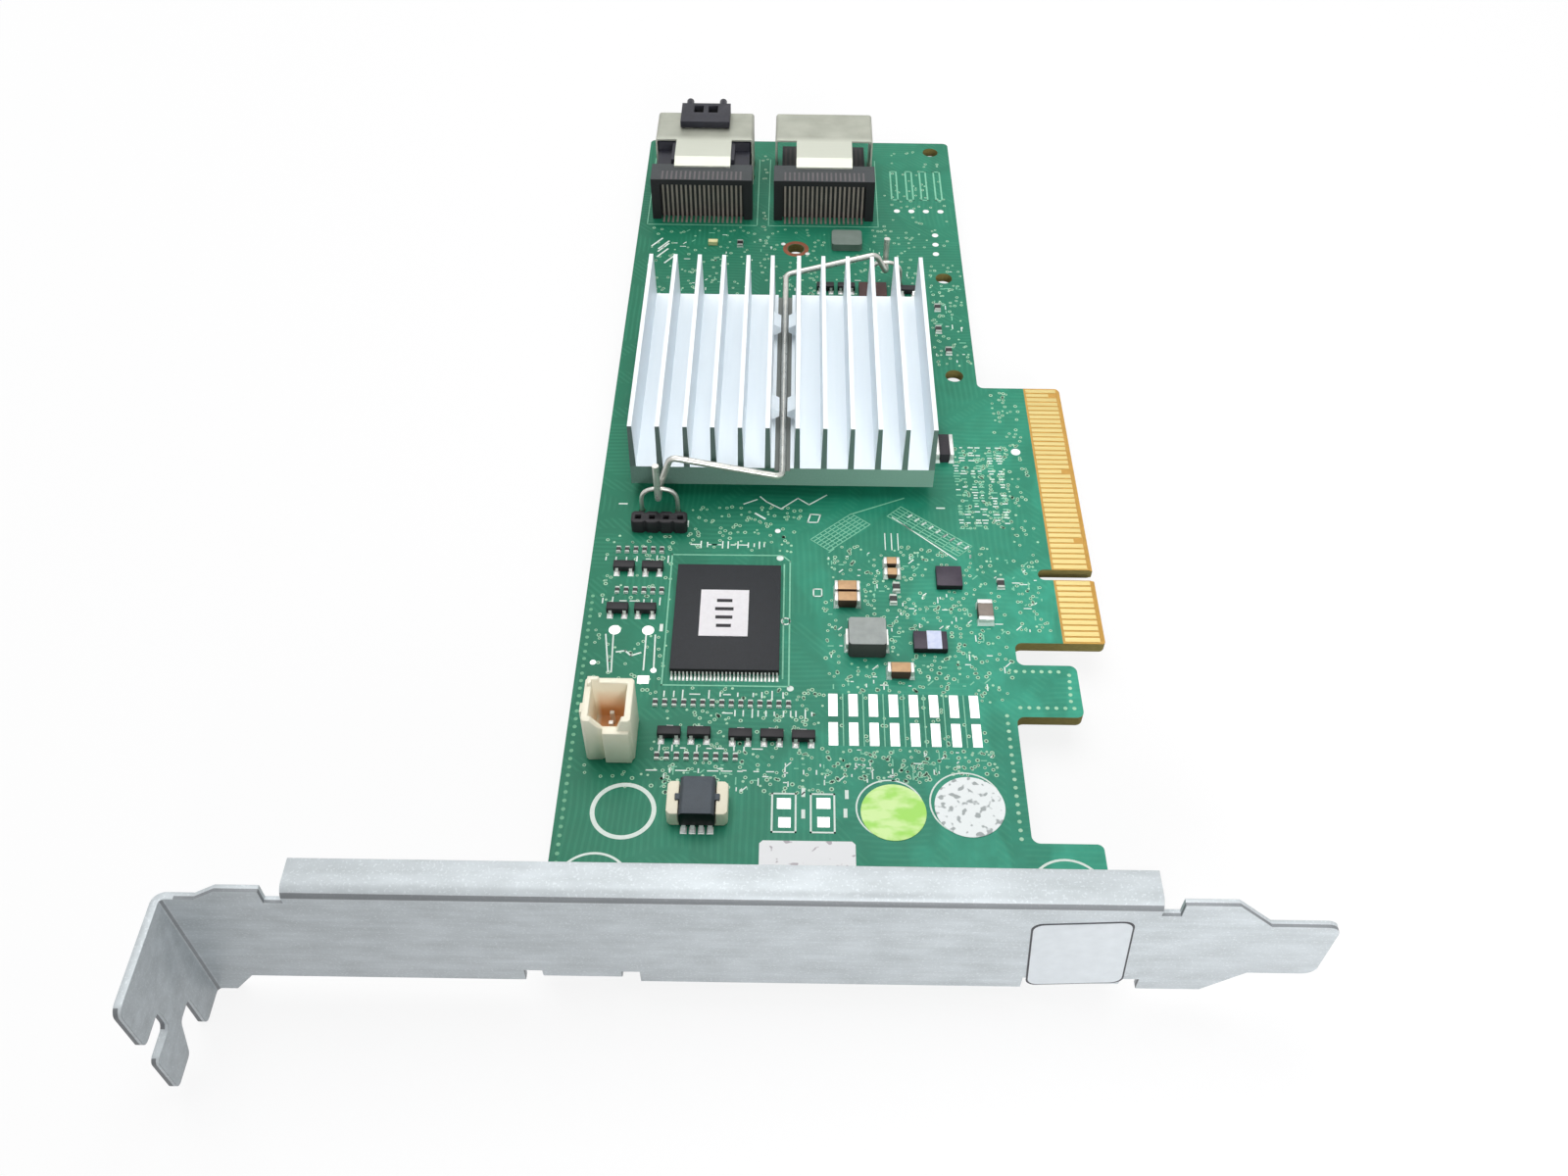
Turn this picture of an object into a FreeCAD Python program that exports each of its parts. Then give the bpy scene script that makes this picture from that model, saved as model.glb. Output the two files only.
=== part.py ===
import FreeCAD
import Part
import math
import os

from FreeCAD import Vector

# A plug-in adapter card on its slot bracket, in millimetres.
# X = 0 is the finger edge, Y = 0 the middle of the key slot, Z = 0 the component face of the board.
# The bracket stands at the -Y end and the cable receptacles open towards +Y.

# Circuit board
board_thickness = 1.57
board_width = 68.9
drawn_width = 68.9
near_end = 57.15
far_end = 110.5
card_edge_setback = 12.7
board_corner = 1.0
gap_width = 3.7
gap_setback = 12.0
hook_length = 8.3
hook_setback = 4.4
bay_length = 18.2
bay_setback = 12.9
end_tab_setback = 4.6
end_tab_corner = 0.8
tooling_hole = 2.8
tooling_hole_setback = 3.4
tooling_hole_places = (107.3, 67.6, 42.0)
centre_hole = (-41.2, 75.6)
solder_reach = 0.8
pin_clearance = 0.1
press_clearance = 0.02

# Finger contacts
contact_pitch = 1.0
contact_width = 0.7
contact_length = 4.6
contact_setback = 0.7
contact_thickness = 0.05
first_contact = 1.5
short_tab_contacts = 11
long_tab_contacts = 38
tab_margin = 0.65
key_width = 1.9
key_depth = 7.6
presence_shortening = 1.2
presence_top = (17, 31, 48)
presence_bottom = (1,)
finger_bevel = 0.6
finger_bevel_angle = 20.0

# Slot bracket, one folded sheet
sheet = 0.86
bend_radius = 0.5
bracket_gap = 0.99
bracket_width = 18.42
tongue_tip = 15.28
tongue_width = 10.19
tongue_length = 7.2
tongue_corner = 1.4
tongue_shoulder = 4.2
sheet_corner = 0.8
ear_fold = 104.74
ear_reach = 12.2
ear_top = 14.3
ear_bottom = -5.7
ear_corner = 1.2
neck_above = 3.4
neck_below = 2.2
neck_slope = 2.5
screw_slot_width = 3.6
screw_slot_depth = 3.9
screw_slot_height = 4.9
ear_notch_floor = 0.8
ear_notch_near = 4.2
ear_notch_far = 7.6
ear_notch_flare = 0.8
ear_prong_bottom = -3.6
flange_depth = 4.0
flange_start = 92.4
flange_finish = 3.6
relief_width = 2.0
relief_depth = 2.2
board_tab_width = 8.6
board_tab_end = 4.5
board_tab_corner = 2.0

# Bracket screws
screw_places = (-63.6, -9.4)
screw_line = 48.8
screw_head = 4.5
screw_head_height = 1.3
screw_head_chamfer = 0.4
screw_shank = 2.4
screw_hole = 2.7
screw_thread_clearance = 0.05
screw_tip = 0.5
screw_recess = 2.2
screw_recess_width = 0.6
screw_recess_depth = 0.8

# Controller chip, thermal pad and heatsink
chip_place_x = -42.8
chip_center_y = 34.75
chip_size = 27.0
chip_standoff = 0.3
chip_substrate = 0.6
chip_cap_size = 22.0
chip_cap = 1.15
thermal_pad = 0.15
fin_count = 12
fin_pitch = 3.8
fin_root = 0.85
fin_tip = 0.6
fin_height = 7.5
channel_extra = 0.3
heatsink_length = 40.3
heatsink_base = 3.3
groove_width = 2.2
groove_depth = 0.5
crimp_reach = 1.05
crimp_length = 3.2
crimp_height = 2.4
crimp_clearance = 0.15
crimp_places = (-9.2, 10.3)

# Heatsink clip and its anchors
clip_wire = 0.95
clip_bend = 1.3
clip_seat = 0.06
wire_sides = 8
bend_steps = 4
clip_near_overhang = 1.8
clip_far_overhang = 5.4
clip_near_arm = 15.5
clip_far_arm = 14.8
clip_far_skew = 4.2
clip_near_rise = 3.4
clip_far_rise = 1.2
clip_near_tail = 6.6
clip_far_tail = 4.6
hook_lean = 1.8
hook_curl = 2.8
anchor_wire = 0.65
anchor_span = 5.1
anchor_height = 4.3
anchor_bend = 2.4
anchor_play = 0.15

# Cable receptacles
receptacle_places = (-57.8, -36.4)
receptacle_window = 6.5
receptacle_setback = 5.7
housing_width = 17.6
housing_depth = 5.0
housing_height = 7.9
pillar_width = 1.5
recess_depth = 1.1
recess_lintel = 1.0
blade_width = 14.9
blade_height = 2.4
blade_thickness = 1.3
blade_tip_gap = 2.2
receptacle_pins = 18
receptacle_pitch = 0.8
receptacle_pin_width = 0.34
receptacle_pin_thickness = 0.2
receptacle_pin_foot = 1.0
blade_contact_length = 8.0
shell_sheet = 0.3
shell_width = 17.4
shell_depth = 9.1
shell_height = 8.9
shell_bend = 0.3
strap_width = 9.8
strap_lip = 1.0
leg_width = 1.6
leg_inset = 1.4

# Dust plug
plug_play = 0.25
plug_rear_gap = 0.8
plug_face = 0.8
plug_shoulder = 2.6
plug_shoulder_drop = 1.6
plug_arm_width = 8.8
plug_arm_length = 6.4
plug_arm_thickness = 1.2
plug_arm_lift = 0.3
plug_window_width = 1.7
plug_window_spacing = 2.6
plug_window_length = 2.4
horn_diameter = 1.3
horn_length = 1.6
horn_spacing = 6.0

# Socket strip
strip_ways = 4
strip_pitch = 1.95
strip_depth = 2.2
strip_height = 2.2
strip_notch = 0.35
strip_hole = 0.8
strip_hole_depth = 1.5
strip_tail = 0.5
strip_place_x = -59.9
strip_center_y = 7.95

# Memory chip
memory_place_x = -49.75
memory_center_y = -9.1
memory_width = 14.0
memory_length = 18.4
memory_standoff = 0.15
memory_height = 1.05
memory_side_draft = 0.12
memory_leads = 28
memory_pitch = 0.5
memory_lead_width = 0.22
memory_lead_thickness = 0.13
memory_lead_reach = 0.8
memory_lead_foot = 0.5
label_thickness = 0.08
memory_label_width = 6.4
memory_label_length = 8.0
memory_label_shift = 0.4

# Cable header
header_place_x = -63.05
header_center_y = -28.3
header_width = 5.9
header_depth = 6.5
header_height = 8.0
header_wall = 0.8
header_floor = 1.4
header_corner = 0.3
header_dip = 2.0
header_dip_start = 2.4
header_dip_width = 1.7
header_panel_proud = 0.4
header_rib = 0.4
header_rib_width = 1.4
header_tower = 0.7
header_pins = 3
header_pin_pitch = 1.5
header_pin = 0.5
header_pin_top = 3.4

# Chip socket
socket_place_x = -52.05
socket_center_y = -38.3
socket_width = 7.2
socket_depth = 4.6
socket_height = 2.5
socket_wall = 1.4
socket_floor = 0.5
socket_corner = 0.4
socket_play = 0.1
socketed_chip_length = 5.2
socketed_chip_height = 2.6
socketed_chip_chamfer = 0.4
chip_ear_reach = 0.55
chip_ear_length = 0.9
chip_ear_height = 0.2
socket_leads_a_side = 4
socket_lead_pitch = 1.04
socket_lead_width = 0.5
socket_lead_thickness = 0.2
socket_lead_reach = 0.7
socket_lead_knee = 0.25
socket_lead_root = 0.35

# Inductor
inductor_place_x = -31.4
inductor_center_y = -12.7
inductor_width = 4.9
inductor_depth = 4.6
inductor_height = 2.8
inductor_corner = 0.3
inductor_terminal = 0.3
inductor_terminal_width = 2.6
inductor_terminal_height = 1.5

# Chip capacitors and resistors
large_cap = (3.4, 1.6, 1.5)
large_cap_places = ((-33.8, -3.65), (-33.8, -5.65), (-27.2, -17.6))
small_cap = (2.2, 1.25, 0.9)
small_cap_places = ((-27.6, 1.5), (-27.6, -0.5))
cap_end = 0.45
tantalum_center = (-19.0, 24.3)
tantalum_size = (2.7, 4.4, 1.7)
tantalum_end = 0.6
upright_cap_center = (-15.5, -7.4)
upright_cap = (2.0, 3.6, 1.2)
upright_cap_end = 0.7
resistor = (0.55, 1.05, 0.35)
resistor_end = 0.24
resistor_pitch = 1.2
resistor_rows = ((-58.3, -22.8), (-57.5, -30.9), (-65.3, 3.5), (-64.8, -4.0))
resistor_row_counts = (15, 9, 6, 6)
large_resistor = (0.95, 1.6, 0.5)
large_resistor_end = 0.35
large_resistor_places = (
    (-27.1, -2.9), (-27.6, -5.1), (-17.7, 59.2), (-17.9, 53.4), (-16.6, 47.9), (-50.9, 76.7), (-12.9, -2.0),
)

# Transistors
transistor_width = 2.9
transistor_depth = 1.3
transistor_standoff = 0.1
transistor_height = 0.95
transistor_lead_width = 0.42
transistor_lead_thickness = 0.15
transistor_lead_reach = 0.6
transistor_lead_foot = 0.35
transistor_lead_spacing = 1.9
transistor_places = (
    (-64.2, 0.1), (-60.3, 0.1), (-64.4, -7.5), (-60.7, -7.5),
    (-56.2, -27.6), (-52.5, -27.6), (-47.4, -27.8), (-43.5, -27.8), (-39.6, -27.9),
    (-36.2, 64.2), (-32.7, 64.2), (-22.4, 63.6),
)

# Other chips and parts
regulator_center = (-19.9, -1.2)
regulator_size = (3.5, 3.6, 0.9)
driver_center = (-23.1, -12.6)
driver_size = (4.4, 3.0, 0.95)
driver_label_width = 1.9
driver_label_shift = 0.5
lamp_size = (1.6, 0.9, 0.7)
lamp_behind_receptacle = 7.4
lamp_shift = 2.2
oscillator_size = (5.2, 4.4, 1.3)
oscillator_behind_receptacle = 6.8
oscillator_shift = 4.0
can_corner = 0.4
buffer_center = (-28.3, 62.6)
buffer_size = (4.6, 4.8, 1.0)

# Stickers and pads
sticker_thickness = 0.08
green_sticker_center = (-28.9, -38.4)
green_sticker_diameter = 7.8
white_sticker_center = (-19.8, -37.5)
white_sticker_diameter = 8.4
board_label_center = (-39.1, -45.2)
board_label_size = (11.2, 5.4)
board_label_corner = 0.4
pad_columns = 8
pad_pitch = 2.54
pad_width = 1.15
pad_length = 3.5
pad_rows = (-22.7, -27.15)
first_pad = -35.9
pad_thickness = 0.04

# Levels and places that follow from the sizes above
board_bottom = -board_thickness
solder_bottom = board_bottom - solder_reach
bracket_inner = -(near_end + bracket_gap)
bracket_outer = bracket_inner - sheet
bracket_bottom = board_bottom - sheet
bracket_top = bracket_bottom + bracket_width
bracket_middle = (bracket_top + bracket_bottom) / 2
long_tab_end = first_contact + (long_tab_contacts - 1) * contact_pitch + tab_margin
short_tab_end = first_contact + (short_tab_contacts - 1) * contact_pitch + tab_margin
chip_top = chip_standoff + chip_substrate + chip_cap
heatsink_bottom = chip_top + thermal_pad
heatsink_floor = heatsink_bottom + heatsink_base
heatsink_near = chip_center_y - heatsink_length / 2
heatsink_far = chip_center_y + heatsink_length / 2
receptacle_mouth = far_end - receptacle_setback
shell_rear = receptacle_mouth - shell_depth
housing_front = shell_rear - receptacle_window
housing_rear = housing_front - housing_depth
drilled = []


def across(x):
    """Place across the board, which keeps its share of the width when the board is made wider or narrower."""
    return x * board_width / drawn_width


def block(x0, x1, y0, y1, z0, z1):
    return Part.makeBox(x1 - x0, y1 - y0, z1 - z0, Vector(x0, y0, z0))


def centred_block(x, y, width, depth, z0, z1):
    return block(x - width / 2, x + width / 2, y - depth / 2, y + depth / 2, z0, z1)


def post(x, y, diameter, z0, z1):
    return Part.makeCylinder(diameter / 2, z1 - z0, Vector(x, y, z0))


def on_xy(u, v):
    return Vector(u, v, 0)


def on_xz(u, v):
    return Vector(u, 0, v)


def on_yz(u, v):
    return Vector(0, u, v)


def rounded_prism(corners, place, start, finish):
    """Solid from a closed outline of (u, v, radius) corners, run along the axis that place leaves at zero."""
    points = [place(u, v) for u, v, _ in corners]
    count = len(points)
    edges = []
    joins = []
    for index, corner in enumerate(points):
        radius = corners[index][2]
        back = (points[index - 1] - corner).normalize()
        ahead = (points[(index + 1) % count] - corner).normalize()
        half = back.getAngle(ahead) / 2
        reach = radius / math.tan(half)
        first = corner + back * reach
        last = corner + ahead * reach
        if radius > 0:
            middle = corner + (back + ahead).normalize() * (radius / math.sin(half) - radius)
            edges.append(Part.Arc(first, middle, last).toShape())
        joins.append((first, last))
    for index in range(count):
        leave = joins[index][1]
        arrive = joins[(index + 1) % count][0]
        if (arrive - leave).Length > 1e-6:
            edges.append(Part.makeLine(leave, arrive))
    face = Part.Face(Part.Wire(Part.__sortEdges__(edges)))
    axis = Vector(1, 1, 1) - Vector(*[1 if a else 0 for a in place(1, 1)])
    face.translate(axis * start)
    return face.extrude(axis * (finish - start))


def chamfered(x, y, width, depth, chamfer, z0, z1):
    """Upright block with its four upright edges cut off."""
    left, right = x - width / 2, x + width / 2
    low, high = y - depth / 2, y + depth / 2
    return rounded_prism([
        (left, low + chamfer, 0),
        (left + chamfer, low, 0),
        (right - chamfer, low, 0),
        (right, low + chamfer, 0),
        (right, high - chamfer, 0),
        (right - chamfer, high, 0),
        (left + chamfer, high, 0),
        (left, high - chamfer, 0),
    ], on_xy, z0, z1)


def stud(x, y, diameter, z0, z1):
    """Post with as many sides as the wires have, its flats a diameter apart."""
    turn = 2 * math.pi / wire_sides
    reach = diameter / 2 / math.cos(turn / 2)
    corners = []
    for index in range(wire_sides):
        angle = (index + 0.5) * turn
        corners.append((x + reach * math.cos(angle), y + reach * math.sin(angle), 0))
    return rounded_prism(corners, on_xy, z0, z1)


def bent_rod(points, diameter, bend):
    """Wire with a many-sided section, along straight runs that turn in a few equal steps at each corner."""
    line = [points[0]]
    for before, corner, after in zip(points, points[1:], points[2:]):
        back = (before - corner).normalize()
        ahead = (after - corner).normalize()
        half = back.getAngle(ahead) / 2
        reach = bend / math.tan(half)
        middle = corner + (back + ahead).normalize() * (bend / math.sin(half) - bend)
        turn = Part.Arc(corner + back * reach, middle, corner + ahead * reach).toShape()
        line += turn.discretize(bend_steps + 1)
    line.append(points[-1])
    along = (points[1] - points[0]).normalize()
    across_wire = along.cross(Vector(0, 0, 1) if abs(along.z) < abs(along.y) else Vector(0, 1, 0)).normalize()
    step = 2 * math.pi / wire_sides
    reach = diameter / 2 / math.cos(step / 2)
    corners = []
    for index in range(wire_sides + 1):
        turn = (index % wire_sides + 0.5) * step
        around = across_wire * math.cos(turn) + along.cross(across_wire) * math.sin(turn)
        corners.append(points[0] + around * reach)
    mitred = 1
    return Part.makePolygon(line).makePipeShell([Part.makePolygon(corners)], True, False, mitred)


def save(name, solids):
    os.makedirs("parts", exist_ok=True)
    shape = Part.makeCompound(solids) if len(solids) > 1 else solids[0]
    shape.exportStep("parts/" + name + ".step")


def gull_lead(x, y, out, width, thickness, root, knee, reach):
    """Lead that slants down from a body at height root to knee and ends in a foot on the board."""
    corners = [
        (y, root + thickness, 0),
        (y + out * knee, thickness, 0),
        (y + out * reach, thickness, 0),
        (y + out * reach, 0, 0),
        (y + out * (knee - thickness), 0, 0),
        (y, root, 0),
    ]
    return rounded_prism(corners, on_yz, x - width / 2, x + width / 2)


# Slot bracket: plate with tongue and neck, ear folded outwards, flange and two board tabs folded inwards
ear_inner = -ear_fold
ear_leg = ear_inner + 2 * bend_radius
tongue_high = bracket_middle + tongue_width / 2
tongue_low = bracket_middle - tongue_width / 2
shoulder_end = tongue_tip - tongue_length
shoulder_start = shoulder_end - tongue_shoulder
bracket = rounded_prism([
    (ear_leg, ear_bottom, 0),
    (ear_inner + neck_below, ear_bottom, 0),
    (ear_inner + neck_below + neck_slope, bracket_bottom, 0),
    (shoulder_start, bracket_bottom, 0),
    (shoulder_end, tongue_low, 0),
    (tongue_tip, tongue_low, tongue_corner),
    (tongue_tip, tongue_high, tongue_corner),
    (shoulder_end, tongue_high, 0),
    (shoulder_start, bracket_top, 0),
    (ear_inner + neck_above + neck_slope, bracket_top, 0),
    (ear_inner + neck_above, ear_top, 0),
    (ear_leg, ear_top, 0),
], on_xz, bracket_outer, bracket_inner)

ear_bend = rounded_prism([
    (ear_leg, bracket_outer, 0),
    (ear_inner, bracket_outer, bend_radius),
    (ear_inner, bracket_outer - ear_reach, 0),
    (ear_inner - sheet, bracket_outer - ear_reach, 0),
    (ear_inner - sheet, bracket_inner, bend_radius + sheet),
    (ear_leg, bracket_inner, 0),
], on_xy, ear_bottom, ear_top)
ear_front = bracket_outer - ear_reach
slot_end = ear_front + screw_slot_depth
slot_high = screw_slot_height + screw_slot_width / 2
slot_low = screw_slot_height - screw_slot_width / 2
notch_near = bracket_outer - ear_notch_near
notch_far = bracket_outer - ear_notch_far
ear_outline = rounded_prism([
    (bracket_inner + sheet, ear_top, 0),
    (ear_front, ear_top, ear_corner),
    (ear_front, slot_high, sheet_corner),
    (slot_end, slot_high, sheet_corner),
    (slot_end, slot_low, sheet_corner),
    (ear_front, slot_low, sheet_corner),
    (ear_front, ear_prong_bottom, sheet_corner),
    (notch_far - ear_notch_flare, ear_prong_bottom, sheet_corner),
    (notch_far + ear_notch_flare, ear_notch_floor, sheet_corner),
    (notch_near, ear_notch_floor, sheet_corner),
    (notch_near, ear_bottom, sheet_corner),
    (bracket_inner + sheet, ear_bottom, 0),
], on_yz, ear_inner - 2 * sheet, ear_leg)
folds = [ear_bend.common(ear_outline)]

fold_line = bracket_top - relief_depth
folds.append(rounded_prism([
    (bracket_outer, fold_line, 0),
    (bracket_outer, bracket_top, bend_radius + sheet),
    (bracket_outer + flange_depth, bracket_top, 0),
    (bracket_outer + flange_depth, bracket_top - sheet, 0),
    (bracket_inner, bracket_top - sheet, bend_radius),
    (bracket_inner, fold_line, 0),
], on_yz, -flange_start, -flange_finish))
relief_left = -flange_start - relief_width
relief_right = -flange_finish + relief_width
bracket = bracket.cut(block(relief_left, relief_right, bracket_outer, bracket_inner, fold_line, bracket_top))

tab_line = bracket_bottom + relief_depth
tab_end = board_tab_end - screw_line
for screw_x in map(across, screw_places):
    left = screw_x - board_tab_width / 2
    right = screw_x + board_tab_width / 2
    tab = rounded_prism([
        (bracket_outer, tab_line, 0),
        (bracket_outer, bracket_bottom, bend_radius + sheet),
        (tab_end, bracket_bottom, 0),
        (tab_end, board_bottom, 0),
        (bracket_inner, board_bottom, bend_radius),
        (bracket_inner, tab_line, 0),
    ], on_yz, left, right)
    end_edges = [edge for edge in tab.Edges
                 if abs(edge.CenterOfMass.y - tab_end) < 1e-6 and edge.BoundBox.XLength < 1e-6]
    tab = tab.makeFillet(board_tab_corner, end_edges)
    thread = stud(screw_x, -screw_line, screw_shank + screw_thread_clearance, bracket_bottom, board_bottom)
    folds.append(tab.cut(thread))
    bracket = bracket.cut(block(left - relief_width, right + relief_width, bracket_outer, bracket_inner,
                                bracket_bottom, tab_line))
save("bracket", [bracket.fuse(folds).removeSplitter()])

# Bracket screws: pan heads on the component side, threaded into the board tabs
screws = []
for screw_x in map(across, screw_places):
    head = post(screw_x, -screw_line, screw_head, 0, screw_head_height)
    rim = [edge for edge in head.Edges if edge.BoundBox.ZMin > screw_head_height - 1e-6]
    head = head.makeChamfer(screw_head_chamfer, rim)
    shank = stud(screw_x, -screw_line, screw_shank, bracket_bottom - screw_tip, 0)
    recess_floor = screw_head_height - screw_recess_depth
    recess = centred_block(screw_x, -screw_line, screw_recess, screw_recess_width, recess_floor, screw_head_height)
    recess = recess.fuse(centred_block(screw_x, -screw_line, screw_recess_width, screw_recess,
                                       recess_floor, screw_head_height))
    screws.append(head.fuse(shank).cut(recess).removeSplitter())
    drilled.append(stud(screw_x, -screw_line, screw_hole, board_bottom, 0))
save("bracket_screws", screws)

# Controller chip: substrate and moulded cap, one sealed pack, with a thermal pad on the cap
chip_center_x = across(chip_place_x)
substrate_top = chip_standoff + chip_substrate
substrate = centred_block(chip_center_x, chip_center_y, chip_size, chip_size, chip_standoff, substrate_top)
cap = centred_block(chip_center_x, chip_center_y, chip_cap_size, chip_cap_size, substrate_top, chip_top)
save("controller_chip", [substrate.fuse(cap)])
save("thermal_pad", [centred_block(chip_center_x, chip_center_y, chip_cap_size, chip_cap_size,
                                   chip_top, heatsink_bottom)])

# Heatsink: one extrusion, tapered fins on a base, with a grooved channel whose walls are crimped over the clip
heatsink_width = (fin_count - 1) * fin_pitch + channel_extra + fin_root
heatsink_left = chip_center_x - heatsink_width / 2
heatsink_right = chip_center_x + heatsink_width / 2
fin_top = heatsink_floor + fin_height
section = [(heatsink_left, heatsink_bottom, 0), (heatsink_right, heatsink_bottom, 0)]
for fin in reversed(range(fin_count)):
    past_channel = channel_extra if fin >= fin_count // 2 else 0
    fin_x = heatsink_left + fin_root / 2 + fin * fin_pitch + past_channel
    section.append((fin_x + fin_root / 2, heatsink_floor, 0))
    section.append((fin_x + fin_tip / 2, fin_top, 0))
    section.append((fin_x - fin_tip / 2, fin_top, 0))
    section.append((fin_x - fin_root / 2, heatsink_floor, 0))
heatsink = rounded_prism(section, on_xz, heatsink_near, heatsink_far)
groove_floor = heatsink_floor - groove_depth
heatsink = heatsink.cut(centred_block(chip_center_x, chip_center_y, groove_width, heatsink_length,
                                      groove_floor, heatsink_floor))
crimp_low = groove_floor + clip_seat + clip_wire + crimp_clearance
channel_half = (fin_pitch + channel_extra - fin_root) / 2
crimps = []
for crimp_shift in crimp_places:
    crimp_start = chip_center_y + crimp_shift - crimp_length / 2
    for side in (-1, 1):
        rooted = chip_center_x + side * (channel_half + fin_tip / 2)
        tip = chip_center_x + side * (channel_half - crimp_reach)
        crimps.append(rounded_prism([
            (rooted, crimp_low, 0),
            (tip, crimp_low + crimp_height / 3, 0),
            (tip, crimp_low + crimp_height * 2 / 3, 0),
            (rooted, crimp_low + crimp_height, 0),
        ], on_xz, crimp_start, crimp_start + crimp_length))
save("heatsink", [heatsink.fuse(crimps).removeSplitter()])

# Heatsink clip: one spring wire along the channel, an arm at each end, hooked under two wire anchors
wire_level = groove_floor + clip_wire / 2 + clip_seat
hook_level = anchor_height - anchor_wire / 2 - clip_wire / 2 - anchor_play
near_arm_x = chip_center_x - clip_near_arm
far_arm_x = chip_center_x + clip_far_arm
near_hook_x = near_arm_x - hook_lean
far_hook_x = far_arm_x + hook_lean
near_arm_y = heatsink_near - clip_near_overhang
far_bend_y = heatsink_far + clip_far_overhang
far_arm_y = far_bend_y + clip_far_skew
route = [
    Vector(near_hook_x, near_arm_y - hook_curl, hook_level + clip_near_tail),
    Vector(near_hook_x, near_arm_y - hook_curl, hook_level),
    Vector(near_hook_x, near_arm_y, hook_level),
    Vector(near_arm_x, near_arm_y, wire_level + clip_near_rise),
    Vector(chip_center_x, near_arm_y, wire_level),
    Vector(chip_center_x, far_bend_y, wire_level),
    Vector(far_arm_x, far_arm_y, wire_level + clip_far_rise),
    Vector(far_hook_x, far_arm_y, hook_level),
    Vector(far_hook_x, far_arm_y + hook_curl, hook_level),
    Vector(far_hook_x, far_arm_y + hook_curl, hook_level + clip_far_tail),
]
anchors = []
for hook_x, anchor_y in ((near_hook_x, near_arm_y - hook_curl / 2), (far_hook_x, far_arm_y + hook_curl / 2)):
    feet = (hook_x - anchor_span / 2, hook_x + anchor_span / 2)
    anchors.append(bent_rod([
        Vector(feet[0], anchor_y, solder_bottom),
        Vector(feet[0], anchor_y, anchor_height),
        Vector(feet[1], anchor_y, anchor_height),
        Vector(feet[1], anchor_y, solder_bottom),
    ], anchor_wire, anchor_bend))
    for foot_x in feet:
        drilled.append(stud(foot_x, anchor_y, anchor_wire + 2 * pin_clearance, board_bottom, 0))
save("heatsink_clip", [bent_rod(route, clip_wire, clip_bend)])
save("clip_anchors", anchors)

# Cable receptacles: moulded housing with a contact blade, and a sheet shell round the mouth
blade_tip = receptacle_mouth - blade_tip_gap
blade_top = blade_height + blade_thickness
receptacle_centers = [across(x) for x in receptacle_places]
for name, x in zip(("left", "right"), receptacle_centers):
    housing = centred_block(x, (housing_rear + housing_front) / 2, housing_width, housing_depth, 0, housing_height)
    housing = housing.cut(block(x - housing_width / 2 + pillar_width, x + housing_width / 2 - pillar_width,
                                housing_rear, housing_rear + recess_depth, 0, housing_height - recess_lintel))
    housing = housing.fuse(block(x - blade_width / 2, x + blade_width / 2, housing_front, blade_tip,
                                 blade_height, blade_top))
    save("receptacle_housing_" + name, [housing.removeSplitter()])

    pins = []
    pin_back = housing_rear + recess_depth
    pin_front = pin_back - receptacle_pin_thickness
    pin_top = housing_height - recess_lintel
    for index in range(receptacle_pins):
        pin_x = x + (index - (receptacle_pins - 1) / 2) * receptacle_pitch
        pin_left = pin_x - receptacle_pin_width / 2
        pin_right = pin_x + receptacle_pin_width / 2
        pins.append(rounded_prism([
            (pin_back, pin_top, 0),
            (pin_front, pin_top, 0),
            (pin_front, receptacle_pin_thickness, 0),
            (housing_rear - receptacle_pin_foot, receptacle_pin_thickness, 0),
            (housing_rear - receptacle_pin_foot, 0, 0),
            (pin_back, 0, 0),
        ], on_yz, pin_left, pin_right))
        for low in (blade_top, blade_height - contact_thickness):
            pins.append(block(pin_left, pin_right, blade_tip - blade_contact_length, blade_tip - contact_setback,
                              low, low + contact_thickness))
    save("receptacle_contacts_" + name, pins)

    left = x - shell_width / 2
    right = x + shell_width / 2
    shell = rounded_prism([
        (left, 0, 0),
        (left, shell_height, shell_bend + shell_sheet),
        (right, shell_height, shell_bend + shell_sheet),
        (right, 0, 0),
        (right - shell_sheet, 0, 0),
        (right - shell_sheet, shell_height - shell_sheet, shell_bend),
        (left + shell_sheet, shell_height - shell_sheet, shell_bend),
        (left + shell_sheet, 0, 0),
    ], on_xz, shell_rear, receptacle_mouth)
    strap = rounded_prism([
        (shell_rear, shell_height, 0),
        (housing_front + strap_lip, shell_height, 0),
        (housing_front - strap_lip, housing_height + shell_sheet, 0),
        (housing_front - strap_lip, housing_height, 0),
        (housing_front + strap_lip, shell_height - shell_sheet, 0),
        (shell_rear, shell_height - shell_sheet, 0),
    ], on_yz, x - strap_width / 2, x + strap_width / 2)
    legs = []
    for leg_left in (left, right - shell_sheet):
        for leg_y in (shell_rear + leg_inset, receptacle_mouth - leg_inset - leg_width):
            legs.append(block(leg_left, leg_left + shell_sheet, leg_y, leg_y + leg_width, solder_bottom, 0))
            drilled.append(block(leg_left - pin_clearance, leg_left + shell_sheet + pin_clearance,
                                 leg_y - pin_clearance, leg_y + leg_width + pin_clearance, board_bottom, 0))
    save("receptacle_shell_" + name, [shell.fuse([strap] + legs).removeSplitter()])

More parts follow.
